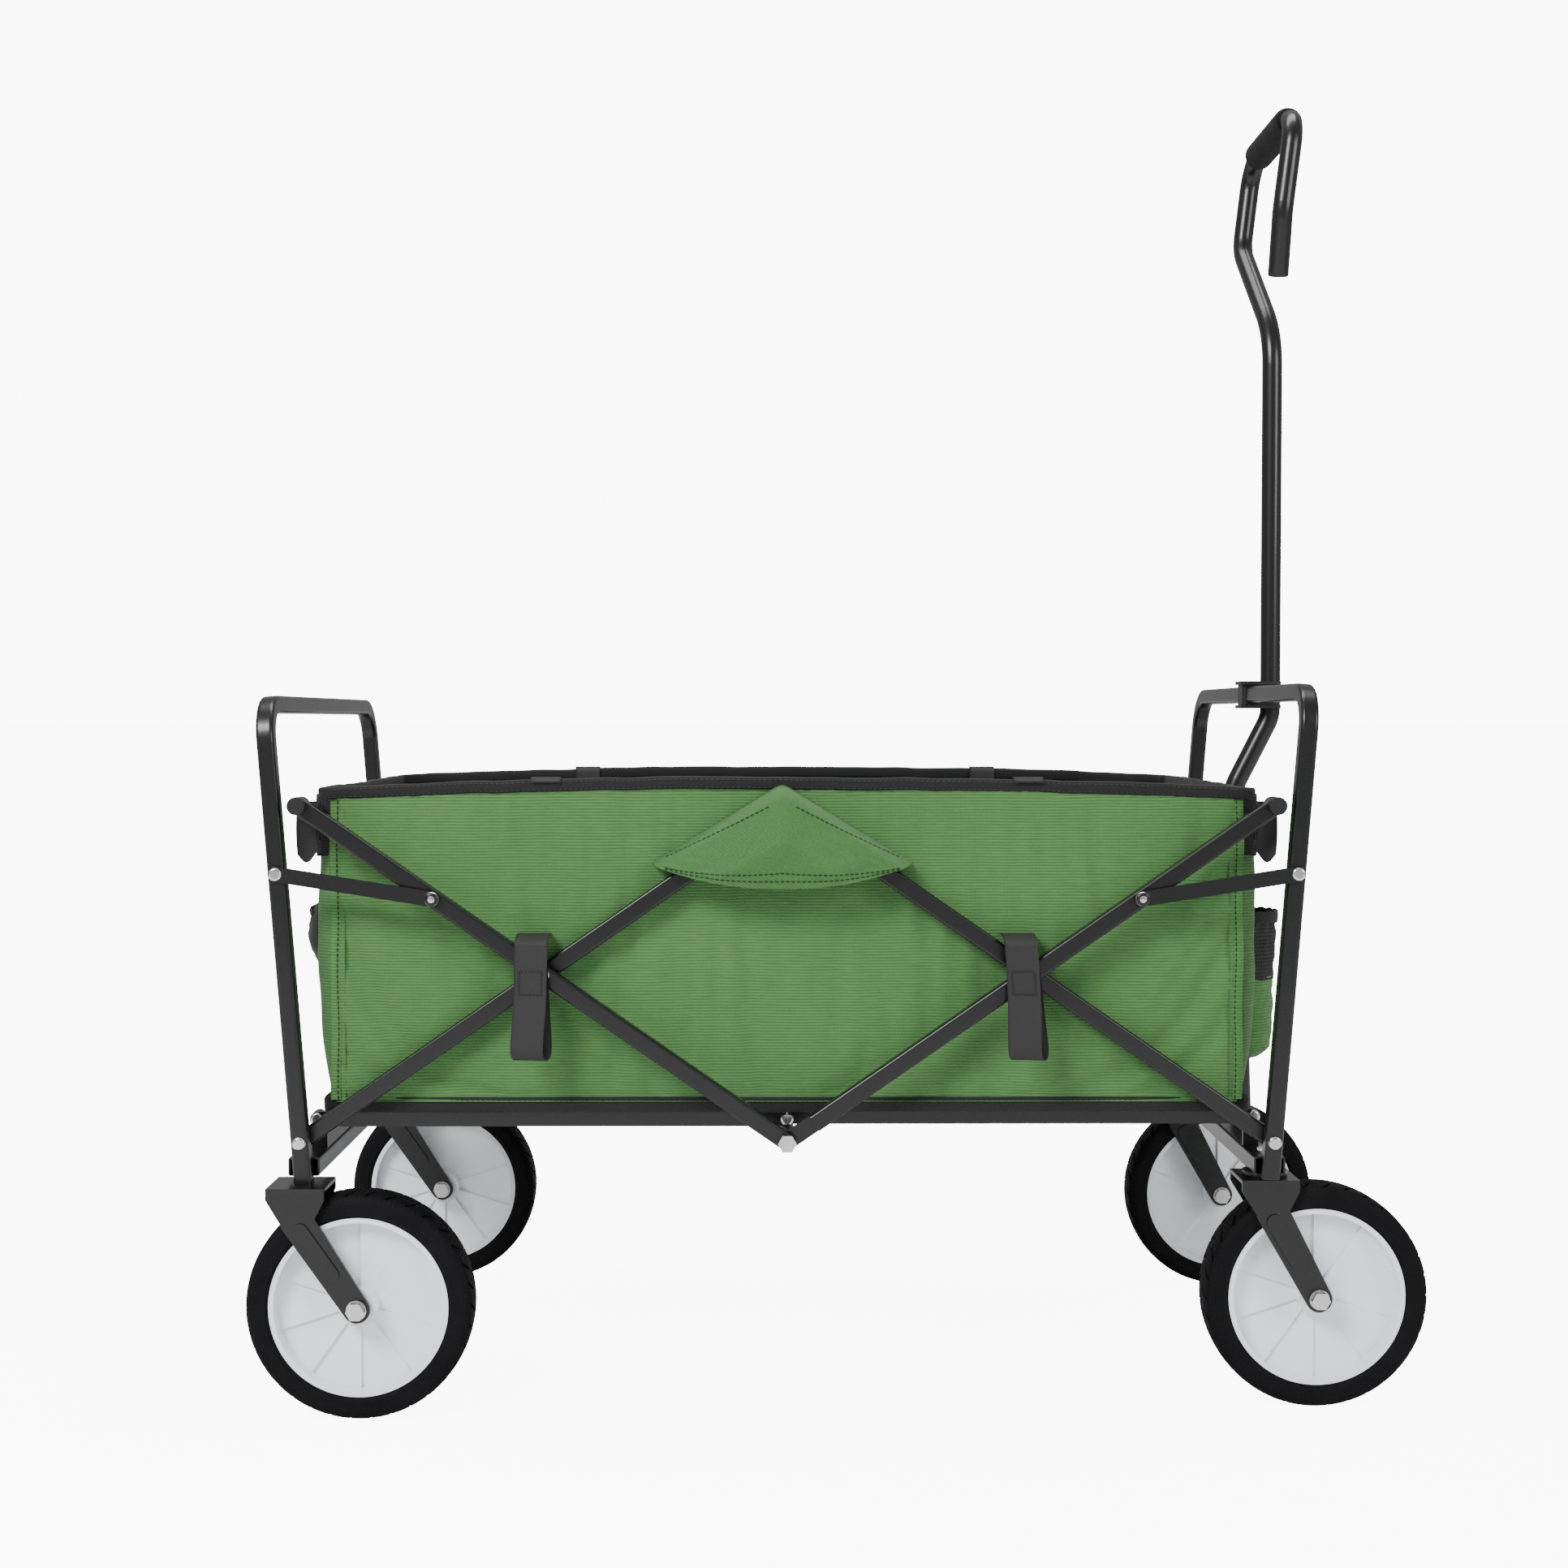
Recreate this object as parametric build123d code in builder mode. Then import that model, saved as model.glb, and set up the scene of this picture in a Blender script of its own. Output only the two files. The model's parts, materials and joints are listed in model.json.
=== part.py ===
"""Folding utility wagon with a pull handle: scissor frame, fabric tub, four wheels.

Millimetres. X runs from the rear end (-X) to the pull-handle end (+X), Y across, Z up from
the ground. The origin is on the ground, at the middle of the wagon's footprint.
"""
from build123d import *
import math
import os

os.makedirs("parts", exist_ok=True)

# ---------------------------------------------------------------- driving dimensions
half_span = 386.0          # scissor middle to the lower pivot of either handle frame
pivot_rise = 13.5          # lower scissor pivots, above the cross bars
arm_rise = 267.0           # height gained from one end of a scissor arm to the other
lean_deg = 4.5             # outward lean of the handle frames
frame_y = 226.0            # middle of the near and far frame tubes
tube = 14.0                # square tube of the handle frames
tube_wall = 1.5
tube_corner = 3.0
rear_frame_height = 347.0  # middle of the rear top bar, above the lower pivots
front_frame_height = 357.0
top_bend = 30.0            # centre-line radius of the frame corners

arm_width = 14.0
arm_thick = 11.0
lap_length = 27.0          # flattened end of an arm that shares its pin with another arm
lap_gap = 0.4
layer_gap = 0.5            # air between a post and the inner arm beside it
pin_r = 3.0
pin_play = 0.1             # running clearance of a pin in its hole
head_r = 5.5
tail_r = 4.4
head_h = 2.4
cross_tube_r = 5.5

link_height = 214.0        # link pivot above the lower pivot, along the post
link_inset = 106.0         # where the link meets the upper arm, inwards of the lower pivot
link_width = 12.0
link_thick = 2.5

wheel_r = 90.0
tyre_width = 38.0
tyre_height = 19.0         # from the wheel disc to the tread
tread_count = 34
tread_depth = 2.2
sector_count = 10
sector_step = 3.0
hub_r = 15.0
axle_r = 4.0
axle_play = 0.1
wheel_gap = 2.5            # between the tyre and a fork leg
plate = 3.0                # fork plate thickness
crown_gap = 2.5            # between the tyre and the underside of a fork crown
crown_length = 46.0
rear_hub_inset = 48.0      # rear axle, inwards of the lower pivot
caster_trail = 39.0        # front axle, ahead of the swivel axis
caster_inset = 30.0        # swivel axes, inwards of the frame tubes
swivel_gap = 0.3

cross_bar_depth = 25.0
cross_bar_height = 15.0
bearing_height = 3.7

rail_rise = 12.0           # rails, above the lower pivots
rail_height = 12.0
rail_width = 8.0
rail_gap = 2.8             # between the rails of the two base halves
rail_clear = 12.0          # rails, inside of the tub's side walls
ear_r = 6.3                # rounded top of the ears that carry the rails
rail_inset = 6.0           # rail pivot, inwards of the lower frame pivot
rail_stay_x = 130.0        # cross stay of a base half, from the middle

pull_r = 8.75
pull_wall = 1.5
pull_reach = 45.5          # upright stretch of the pull tube, outwards of the lower pivots
pull_low_reach = 12.0
pull_pivot_reach = 22.0
loop_half_width = 85.0
loop_setback = 10.5        # lower ends of the loop, inwards of the upright stretch
grip_setback = 0.5
grip_rise = 491.0          # heights of the loop, above the front top bar
grip_r = 12.7
grip_length = 118.0
loop_start_rise = 320.0
loop_low_rise = 410.0
hook_end_rise = 361.0

tub_end_gap = 9.5          # end walls, inwards of the lower pivots
tub_side_gap = 4.5         # between a side wall and the inner arms
tub_corner = 14.0
cloth = 3.0
tub_gap = 1.0              # between the rails and the bottom of the tub
rim_rise = 18.0            # top of the rim, above the arm ends
rim_height = 14.0
binding_height = 11.0
seam_inset = 14.5          # corner seams, inwards of the end walls
mat_thick = 8.0
flap_half_width = 100.0
flap_top_rise = 12.0       # above the arm ends
flap_tip_drop = 47.0       # below the arm ends
flap_bottom_drop = 65.0
strap_width = 26.0
strap_thick = 3.0
strap_rise = 25.5          # top of a strap, above the arm crossing
strap_drop = 66.5
cup_r = 33.0
cup_inset = 83.0           # cup holders, inwards of the side walls
cup_top_rise = 155.0       # above the bottom of the tub
cup_bottom_rise = 31.0
pouch_rise = 135.0
pouch_reach = 34.0
pouch_half_height = 36.0
pouch_inset = 91.0         # ends of the pouch, inwards of the side walls

# ---------------------------------------------------------------- derived places
rear_reach = half_span - rear_hub_inset + wheel_r
front_reach = half_span + caster_trail + wheel_r
mid_x = (rear_reach - front_reach) / 2     # the scissor middle, seen from the origin
lean = math.radians(lean_deg)
arm_angle = math.degrees(math.atan2(arm_rise, half_span))
rim_r = wheel_r - tyre_height
fork_half = tyre_width / 2 + wheel_gap + plate
crown_z = 2 * wheel_r + crown_gap
bearing_z = crown_z + plate + swivel_gap
cross_bar_bottom = bearing_z + bearing_height
cross_bar_z = cross_bar_bottom + cross_bar_height / 2
cross_bar_top = cross_bar_bottom + cross_bar_height
caster_y = frame_y - caster_inset
pivot_z = cross_bar_top + pivot_rise
crossing_z = pivot_z + arm_rise / 2
arm_top_z = pivot_z + arm_rise
rear_top_z = pivot_z + rear_frame_height
front_top_z = pivot_z + front_frame_height
post_inner = frame_y - tube / 2
post_outer = frame_y + tube / 2
upper_arm = (frame_y - arm_thick / 2, frame_y + arm_thick / 2)
lower_arm = (post_inner - layer_gap - arm_thick, post_inner - layer_gap)
link_layer = (post_outer + layer_gap, post_outer + layer_gap + link_thick)
link_inner_x = half_span - link_inset
link_post_x = half_span + link_height * math.sin(lean)
link_post_z = pivot_z + link_height * math.cos(lean)
link_inner_z = pivot_z + link_inner_x * arm_rise / half_span
tub_half_length = half_span - tub_end_gap
tub_half_width = lower_arm[0] - tub_side_gap
seam_x = tub_half_length - seam_inset
rail_z = pivot_z + rail_rise
rail_pivot_x = half_span - rail_inset
rear_rail = (tub_half_width - rail_clear - rail_width, tub_half_width - rail_clear)
front_rail = (rear_rail[0] - rail_gap - rail_width, rear_rail[0] - rail_gap)
tub_bottom_z = rail_z + rail_height / 2 + tub_gap
rim_z = arm_top_z + rim_rise
flap_top_z = arm_top_z + flap_top_rise
flap_tip_z = arm_top_z - flap_tip_drop
flap_bottom_z = arm_top_z - flap_bottom_drop
strap_top_z = crossing_z + strap_rise
strap_bottom_z = crossing_z - strap_drop
cup_y = tub_half_width - cup_inset
cup_top_z = tub_bottom_z + cup_top_rise
cup_bottom_z = tub_bottom_z + cup_bottom_rise
pouch_z = tub_bottom_z + pouch_rise
pouch_half_width = tub_half_width - pouch_inset
pull_x = half_span + pull_reach
pull_low_x = half_span + pull_low_reach
pull_pivot_x = half_span + pull_pivot_reach
pull_pivot_z = cross_bar_z
loop_x = pull_x - loop_setback
grip_x = pull_x - grip_setback
grip_z = front_top_z + grip_rise
loop_start_z = front_top_z + loop_start_rise
loop_low_z = front_top_z + loop_low_rise
hook_end_z = front_top_z + hook_end_rise
sides = {"near": -1, "far": 1}
ends = {"rear": -1, "front": 1}


def write(piece, label):
    """Label a finished piece and write its STEP file."""
    piece.part.label = label
    export_step(piece.part, f"parts/{label}.step")


def side_plane(side, inner, outer):
    """Upright plane at one side of the wagon, from which extruding outer - inner fills that layer."""
    y = outer if side > 0 else -inner
    return Plane(origin=(mid_x, y, 0), x_dir=(1, 0, 0), z_dir=(0, -1, 0))


def layer_depth(layer):
    """Thickness of a layer across the wagon."""
    return layer[1] - layer[0]


def outer_rims(piece, y):
    """Round outer edges of the heads that reach y on either side of the wagon."""
    heads = piece.edges().filter_by(GeomType.CIRCLE).filter_by(lambda e: abs(e.radius - head_r) < 0.01)
    return heads.filter_by(lambda e: abs(abs(e.center().Y) - y) < 0.01)


def rivets(label, places, tail=1.2):
    """Domed rivets across the wagon, one for each (x, z, inner, outer) on both sides, with a flat tail head."""
    with BuildPart() as group:
        for side in sides.values():
            for x, z, inner, outer in places:
                for layer, radius in (
                    ((inner - tail, inner), tail_r),
                    ((inner, outer), pin_r),
                    ((outer, outer + head_h), head_r),
                ):
                    with BuildSketch(side_plane(side, *layer)):
                        with Locations((x, z)):
                            Circle(radius)
                    extrude(amount=layer_depth(layer))
        for outer in sorted({place[3] for place in places}):
            fillet(outer_rims(group, outer + head_h), head_h * 0.9)
    write(group, label)


def arm(label, side, end, layer, lap_outside, snug):
    """One scissor arm: from its middle-line pin up or down to its far pin, with a flattened lap at the middle.

    snug lists the distances from the middle of the pins that this arm carries.
    """
    upper = layer is upper_arm
    middle = (0, pivot_z) if upper else (0, arm_top_z)
    far = (end * half_span, arm_top_z) if upper else (end * half_span, pivot_z)
    slope = (far[1] - middle[1]) / (far[0] - middle[0])
    turn = math.degrees(math.atan(slope))
    length = math.hypot(far[0] - middle[0], far[1] - middle[1])
    depth = layer_depth(layer)
    with BuildPart() as bar:
        with BuildSketch(side_plane(side, *layer)):
            with Locations(((middle[0] + far[0]) / 2, (middle[1] + far[1]) / 2)):
                SlotCenterToCenter(length, arm_width, rotation=turn)
        extrude(amount=depth)
        fillet(bar.edges().group_by(Axis.Y)[0] + bar.edges().group_by(Axis.Y)[-1], tube_corner * 0.7)
        cut = (layer[0], layer[0] + (depth + lap_gap) / 2)
        if not lap_outside:
            cut = (layer[0] + (depth - lap_gap) / 2, layer[1])
        with BuildSketch(side_plane(side, *cut)):
            with Locations(middle):
                Circle(lap_length)
        extrude(amount=layer_depth(cut), mode=Mode.SUBTRACT)
        with BuildSketch(side_plane(side, *layer)):
            for x in (0, end * half_span / 2, end * half_span):
                with Locations((x, middle[1] + slope * x)):
                    Circle(pin_r if abs(x) in snug else pin_r + pin_play)
        extrude(amount=depth, mode=Mode.SUBTRACT)
    write(bar, label)


def scissor_arms():
    """Eight arms: an upper and a lower one at each end, on each side."""
    for end_name, end in ends.items():
        for side_name, side in sides.items():
            outside = end < 0
            arm(f"upper_arm_{end_name}_{side_name}", side, end, upper_arm, outside, (half_span / 2, half_span))
            arm(f"lower_arm_{end_name}_{side_name}", side, end, lower_arm, outside, (0,) if end < 0 else ())


def corner_knobs(label, end):
    """Short black caps on the upper ends of the upper arms, held by the arm's end pin."""
    with BuildPart() as knobs:
        for side in sides.values():
            with BuildSketch(side_plane(side, upper_arm[0] - 6, upper_arm[1] + 7)):
                with Locations((end * half_span, arm_top_z)):
                    Circle(pin_r)
            extrude(amount=arm_thick + 13)
            for layer in ((upper_arm[1], upper_arm[1] + 7), (upper_arm[0] - 6, upper_arm[0])):
                with BuildSketch(side_plane(side, *layer)):
                    with Locations((end * half_span, arm_top_z)):
                        Circle(tube / 2)
                extrude(amount=layer_depth(layer))
    write(knobs, label)


def middle_cross_tube():
    """Tube across the wagon on the bottom middle pivots."""
    reach = upper_arm[0] - layer_gap
    with BuildPart() as cross:
        with BuildSketch(Plane(origin=(mid_x, reach, pivot_z), x_dir=(1, 0, 0), z_dir=(0, -1, 0))):
            Circle(cross_tube_r)
            Circle(pin_r, mode=Mode.SUBTRACT)
        extrude(amount=2 * reach)
    write(cross, "middle_cross_tube")


def middle_bolts():
    """Hex bolts through the two upper arms at the bottom middle, screwed into the cross tube."""
    with BuildPart() as bolts:
        for side in sides.values():
            shank = (upper_arm[0] - 30, upper_arm[1] + layer_gap)
            with BuildSketch(side_plane(side, *shank)):
                with Locations((0, pivot_z)):
                    Circle(pin_r)
            extrude(amount=layer_depth(shank))
            head = (shank[1], shank[1] + 5)
            with BuildSketch(side_plane(side, *head)):
                with Locations((0, pivot_z)):
                    RegularPolygon(6.5, 6, major_radius=False)
            extrude(amount=layer_depth(head))
    write(bolts, "middle_bolts")


def handle_frame(end_name, end, top_z, foot_z):
    """Leaning U-shaped end frame: two posts joined by the top bar, one bent square tube."""
    leaning = Plane(
        origin=(mid_x + end * half_span, 0, pivot_z),
        x_dir=(0, 1, 0),
        z_dir=(math.cos(lean), 0, -end * math.sin(lean)),
    )
    top = (top_z - pivot_z) / math.cos(lean)
    foot = (foot_z - pivot_z) / math.cos(lean) - 3
    with BuildPart() as frame:
        with BuildLine(leaning) as path:
            FilletPolyline((-frame_y, foot), (-frame_y, top), (frame_y, top), (frame_y, foot), radius=top_bend)
        with BuildSketch(Plane(origin=path.line @ 0, x_dir=(0, 1, 0), z_dir=path.line % 0)):
            RectangleRounded(tube, tube, tube_corner)
            RectangleRounded(tube - 2 * tube_wall, tube - 2 * tube_wall, tube_corner - tube_wall, mode=Mode.SUBTRACT)
        sweep()
        split(bisect_by=Plane.XY.offset(foot_z), keep=Keep.TOP)
        for x, z in ((half_span, pivot_z), (link_post_x, link_post_z)):
            for side in sides.values():
                with BuildSketch(side_plane(side, post_inner - 1, post_outer + 1)):
                    with Locations((end * x, z)):
                        Circle(pin_r)
                extrude(amount=tube + 2, mode=Mode.SUBTRACT)
    write(frame, f"{end_name}_handle_frame")


def cross_bar(end_name, end, rail):
    """Flat rectangular bar between the posts of one end frame, with two ears that carry the base rails."""
    ear = (rail[0] - rail_gap / 2 - plate, rail[0] - rail_gap / 2)
    with BuildPart() as bar:
        with BuildSketch(Plane(origin=(mid_x + end * (half_span - 1), -post_inner, cross_bar_z),
                               x_dir=(1, 0, 0), z_dir=(0, 1, 0))):
            RectangleRounded(cross_bar_depth, cross_bar_height, 2)
            RectangleRounded(cross_bar_depth - 3, cross_bar_height - 3, 1, mode=Mode.SUBTRACT)
        extrude(amount=2 * post_inner)
        for side in sides.values():
            with BuildSketch(side_plane(side, *ear)):
                with BuildLine():
                    Polyline(
                        (end * (rail_pivot_x - ear_r), rail_z), (end * (rail_pivot_x - ear_r), cross_bar_top - 1),
                        (end * (rail_pivot_x + ear_r), cross_bar_top - 1), (end * (rail_pivot_x + ear_r), rail_z),
                    )
                    ThreePointArc(
                        (end * (rail_pivot_x + ear_r), rail_z), (end * rail_pivot_x, rail_z + ear_r),
                        (end * (rail_pivot_x - ear_r), rail_z),
                    )
                make_face()
                with Locations((end * rail_pivot_x, rail_z)):
                    Circle(pin_r, mode=Mode.SUBTRACT)
            extrude(amount=plate)
        if end > 0:
            with Locations(*[(mid_x + half_span, side * caster_y, cross_bar_z) for side in sides.values()]):
                Cylinder(axle_r, cross_bar_height + 2, mode=Mode.SUBTRACT)
    write(bar, f"{end_name}_cross_bar")


def links(label, end):
    """Flat links between a post and the upper arm beside it, each with a domed stud that rides on the arm."""
    middle = ((link_post_x + link_inner_x) / 2, (link_post_z + link_inner_z) / 2)
    length = math.hypot(link_post_x - link_inner_x, link_post_z - link_inner_z)
    turn = math.degrees(math.atan2(link_post_z - link_inner_z, link_post_x - link_inner_x))
    with BuildPart() as pair:
        for side in sides.values():
            with BuildSketch(side_plane(side, *link_layer)):
                with Locations((end * middle[0], middle[1])):
                    SlotCenterToCenter(length, link_width, rotation=end * turn)
                with Locations((end * link_post_x, link_post_z)):
                    Circle(pin_r + pin_play, mode=Mode.SUBTRACT)
            extrude(amount=link_thick)
            for layer in ((upper_arm[1] + 0.3, link_layer[0]), (link_layer[1], link_layer[1] + head_h)):
                with BuildSketch(side_plane(side, *layer)):
                    with Locations((end * link_inner_x, link_inner_z)):
                        Circle(head_r)
                extrude(amount=layer_depth(layer))
        fillet(outer_rims(pair, link_layer[1] + head_h), head_h * 0.9)
    write(pair, label)


def base_half(end_name, end, layer):
    """Folding half of the base: two rails with a cross stay welded between them."""
    with BuildPart() as half:
        for side in sides.values():
            with BuildSketch(side_plane(side, *layer)):
                with Locations((end * rail_pivot_x / 2, rail_z)):
                    SlotCenterToCenter(rail_pivot_x, rail_height)
                with Locations((end * rail_pivot_x, rail_z)):
                    Circle(pin_r + pin_play, mode=Mode.SUBTRACT)
                if end < 0:
                    with Locations((0, rail_z)):
                        Circle(pin_r, mode=Mode.SUBTRACT)
            extrude(amount=layer_depth(layer))
        with BuildSketch(Plane(origin=(mid_x + end * rail_stay_x, -layer[0], rail_z), x_dir=(1, 0, 0), z_dir=(0, 1, 0))):
            RectangleRounded(20, rail_height - 2, 2)
            RectangleRounded(17, rail_height - 5, 1, mode=Mode.SUBTRACT)
        extrude(amount=2 * layer[0])
    write(half, f"{end_name}_base_frame")


def fork(label, side, crown_x, hub_x, y, kingpin):
    """Pressed two-legged wheel fork, with a flat crown over the tyre and a raised rib down each leg."""
    with BuildPart() as body:
        with BuildSketch(Plane.XY.offset(crown_z)):
            with Locations((mid_x + crown_x, side * y)):
                RectangleRounded(crown_length, 2 * fork_half, 4)
        extrude(amount=plate)
        for face in (-1, 1):
            edge = side * y + face * fork_half
            start = edge if face > 0 else edge + plate
            with BuildSketch(Plane(origin=(mid_x, start, 0), x_dir=(1, 0, 0), z_dir=(0, -1, 0))) as leg:
                with BuildLine():
                    Polyline(
                        (crown_x - crown_length / 2, crown_z + plate), (crown_x - crown_length / 2, crown_z - 6),
                        (crown_x - 12, crown_z - 24), (crown_x + 14, crown_z - 24),
                        (crown_x + crown_length / 2, crown_z - 6), (crown_x + crown_length / 2, crown_z + plate),
                        close=True,
                    )
                make_face()
                with BuildSketch(mode=Mode.PRIVATE) as taper:
                    with Locations((crown_x + 1, crown_z - 22)):
                        Circle(13)
                    with Locations((hub_x, wheel_r)):
                        Circle(10.5)
                    make_hull()
                add(taper.sketch)
                with Locations((hub_x, wheel_r)):
                    Circle(axle_r, mode=Mode.SUBTRACT)
            extrude(amount=plate)
            rib_start = edge + 1.5 if face > 0 else edge
            length = math.hypot(hub_x - crown_x, crown_z - 25 - wheel_r)
            turn = math.degrees(math.atan2(wheel_r - crown_z + 25, hub_x - crown_x))
            with BuildSketch(Plane(origin=(mid_x, rib_start, 0), x_dir=(1, 0, 0), z_dir=(0, -1, 0))):
                with Locations(((hub_x + 2 * crown_x) / 3, (wheel_r + 2 * crown_z - 50) / 3)):
                    SlotCenterToCenter(length * 0.5, 13, rotation=turn)
            extrude(amount=1.5)
        if kingpin:
            with Locations((mid_x + crown_x, side * y, crown_z + plate / 2)):
                Cylinder(axle_r + axle_play, plate + 2, mode=Mode.SUBTRACT)
    write(body, label)


def axle_bolts(label, places):
    """Wheel bolts with hex heads and nuts, for each (x, y)."""
    reach = fork_half + 1.6
    with BuildPart() as bolts:
        for x, y in places:
            across = Plane(origin=(mid_x + x, y + reach, wheel_r), x_dir=(1, 0, 0), z_dir=(0, -1, 0))
            with BuildSketch(across):
                Circle(axle_r)
            extrude(amount=2 * reach)
            for start in (-6.0, 2 * reach):
                with BuildSketch(across.offset(start)):
                    RegularPolygon(6.5, 6, major_radius=False)
                extrude(amount=6)
            for start in (0.0, 2 * reach - 1.6):
                with BuildSketch(across.offset(start)):
                    Circle(8)
                    Circle(axle_r, mode=Mode.SUBTRACT)
                extrude(amount=1.6)
    write(bolts, label)


def caster_kingpins():
    """Swivel pins of the front forks, peened over above the front cross bar."""
    with BuildPart() as pins:
        for side in sides.values():
            with BuildSketch(Plane.XY.offset(crown_z - 2)):
                with Locations((mid_x + half_span, side * caster_y)):
                    Circle(axle_r)
            extrude(amount=cross_bar_top + 3 - crown_z + 2)
            for z, height in ((crown_z - 2 - swivel_gap, 2), (cross_bar_top, 3)):
                with BuildSketch(Plane.XY.offset(z)):
                    with Locations((mid_x + half_span, side * caster_y)):
                        Circle(6.5)
                extrude(amount=height)
    write(pins, "caster_kingpins")


def caster_bearings():
    """Bearing cups between the front cross bar and the swivelling fork crowns."""
    with BuildPart() as cups:
        for side in sides.values():
            with BuildSketch(Plane.XY.offset(bearing_z)):
                with Locations((mid_x + half_span, side * caster_y)):
                    Circle(18)
                    Circle(axle_r, mode=Mode.SUBTRACT)
            extrude(amount=bearing_height)
    write(cups, "caster_bearings")


def tyre_blank():
    """One tyre around the Y axis: a solid ring with rounded shoulders and slanted tread grooves."""
    half = tyre_width / 2
    with BuildPart() as ring:
        with BuildSketch(Plane.XY):
            with BuildLine():
                Polyline((rim_r, -half + 3), (rim_r, half - 3), (rim_r + 3, half))
                Line((rim_r + 3, half), (wheel_r - 8, half))
                ThreePointArc((wheel_r - 8, half), (wheel_r - 2.2, half - 3), (wheel_r - 0.6, half - 8))
                ThreePointArc((wheel_r - 0.6, half - 8), (wheel_r, 0), (wheel_r - 0.6, 8 - half))
                ThreePointArc((wheel_r - 0.6, 8 - half), (wheel_r - 2.2, 3 - half), (wheel_r - 8, -half))
                Line((wheel_r - 8, -half), (rim_r + 3, -half))
                Line((rim_r + 3, -half), (rim_r, -half + 3))
            make_face()
        revolve(axis=Axis.Y)
        for face in (-1, 1):
            for k in range(tread_count):
                turn = 360 / tread_count * (k + (0.5 if face > 0 else 0))
                spot = Rot(0, turn, 0) * Pos(wheel_r, face * half * 0.62, 0) * Rot(face * 32, 0, 0)
                with Locations(spot):
                    Box(2 * tread_depth, half * 0.95, 2.6, mode=Mode.SUBTRACT)
    return ring


def disc_blank():
    """One moulded wheel disc around the Y axis: hub, rim ring, and a pinwheel of sloping sectors on each face."""
    half = tyre_width / 2
    rim_in = rim_r - 4
    web = 4.0
    with BuildPart() as disc:
        with BuildSketch(Plane.XZ.offset(-web / 2)):
            Circle(rim_r)
        extrude(amount=web)
        with BuildSketch(Plane.XZ.offset(-half + 2)):
            Circle(rim_r)
            Circle(rim_in, mode=Mode.SUBTRACT)
            Circle(hub_r)
        extrude(amount=tyre_width - 4)
        for face in (-1, 1):
            for k in range(sector_count):
                turn = 360 / sector_count * k
                low = face * web / 2
                high = face * (web / 2 + sector_step)
                for reach in (hub_r - 3, rim_in + 1):
                    wide = reach * math.tan(math.pi / sector_count)
                    cut = Plane(origin=(0, 0, 0), x_dir=(0, 0, 1), z_dir=(1, 0, 0))
                    with BuildSketch(cut.rotated((0, turn, 0)).offset(reach)):
                        with BuildLine():
                            Polyline((-wide, 0), (wide, 0), (wide, high), (-wide, low), close=True)
                        make_face()
                loft()
        with BuildSketch(Plane.XZ.offset(-half - 1)):
            Circle(rim_r + 20)
            Circle(rim_r, mode=Mode.SUBTRACT)
        extrude(amount=tyre_width + 2, mode=Mode.SUBTRACT)
        with BuildSketch(Plane.XZ.offset(-half - 1)):
            Circle(axle_r + axle_play)
        extrude(amount=tyre_width + 2, mode=Mode.SUBTRACT)
    return disc


def wheels():
    """Tyre and disc of each of the four wheels, placed on their axles."""
    tyre_shape = tyre_blank()
    disc_shape = disc_blank()
    for side_name, side in sides.items():
        for end_name, x, y in (
            ("rear", rear_hub_inset - half_span, frame_y),
            ("front", half_span + caster_trail, caster_y),
        ):
            for kind, shape in (("tyre", tyre_shape), ("wheel_disc", disc_shape)):
                with BuildPart() as wheel:
                    with Locations((mid_x + x, side * y, wheel_r)):
                        add(shape.part)
                write(wheel, f"{kind}_{end_name}_{side_name}")


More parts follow.
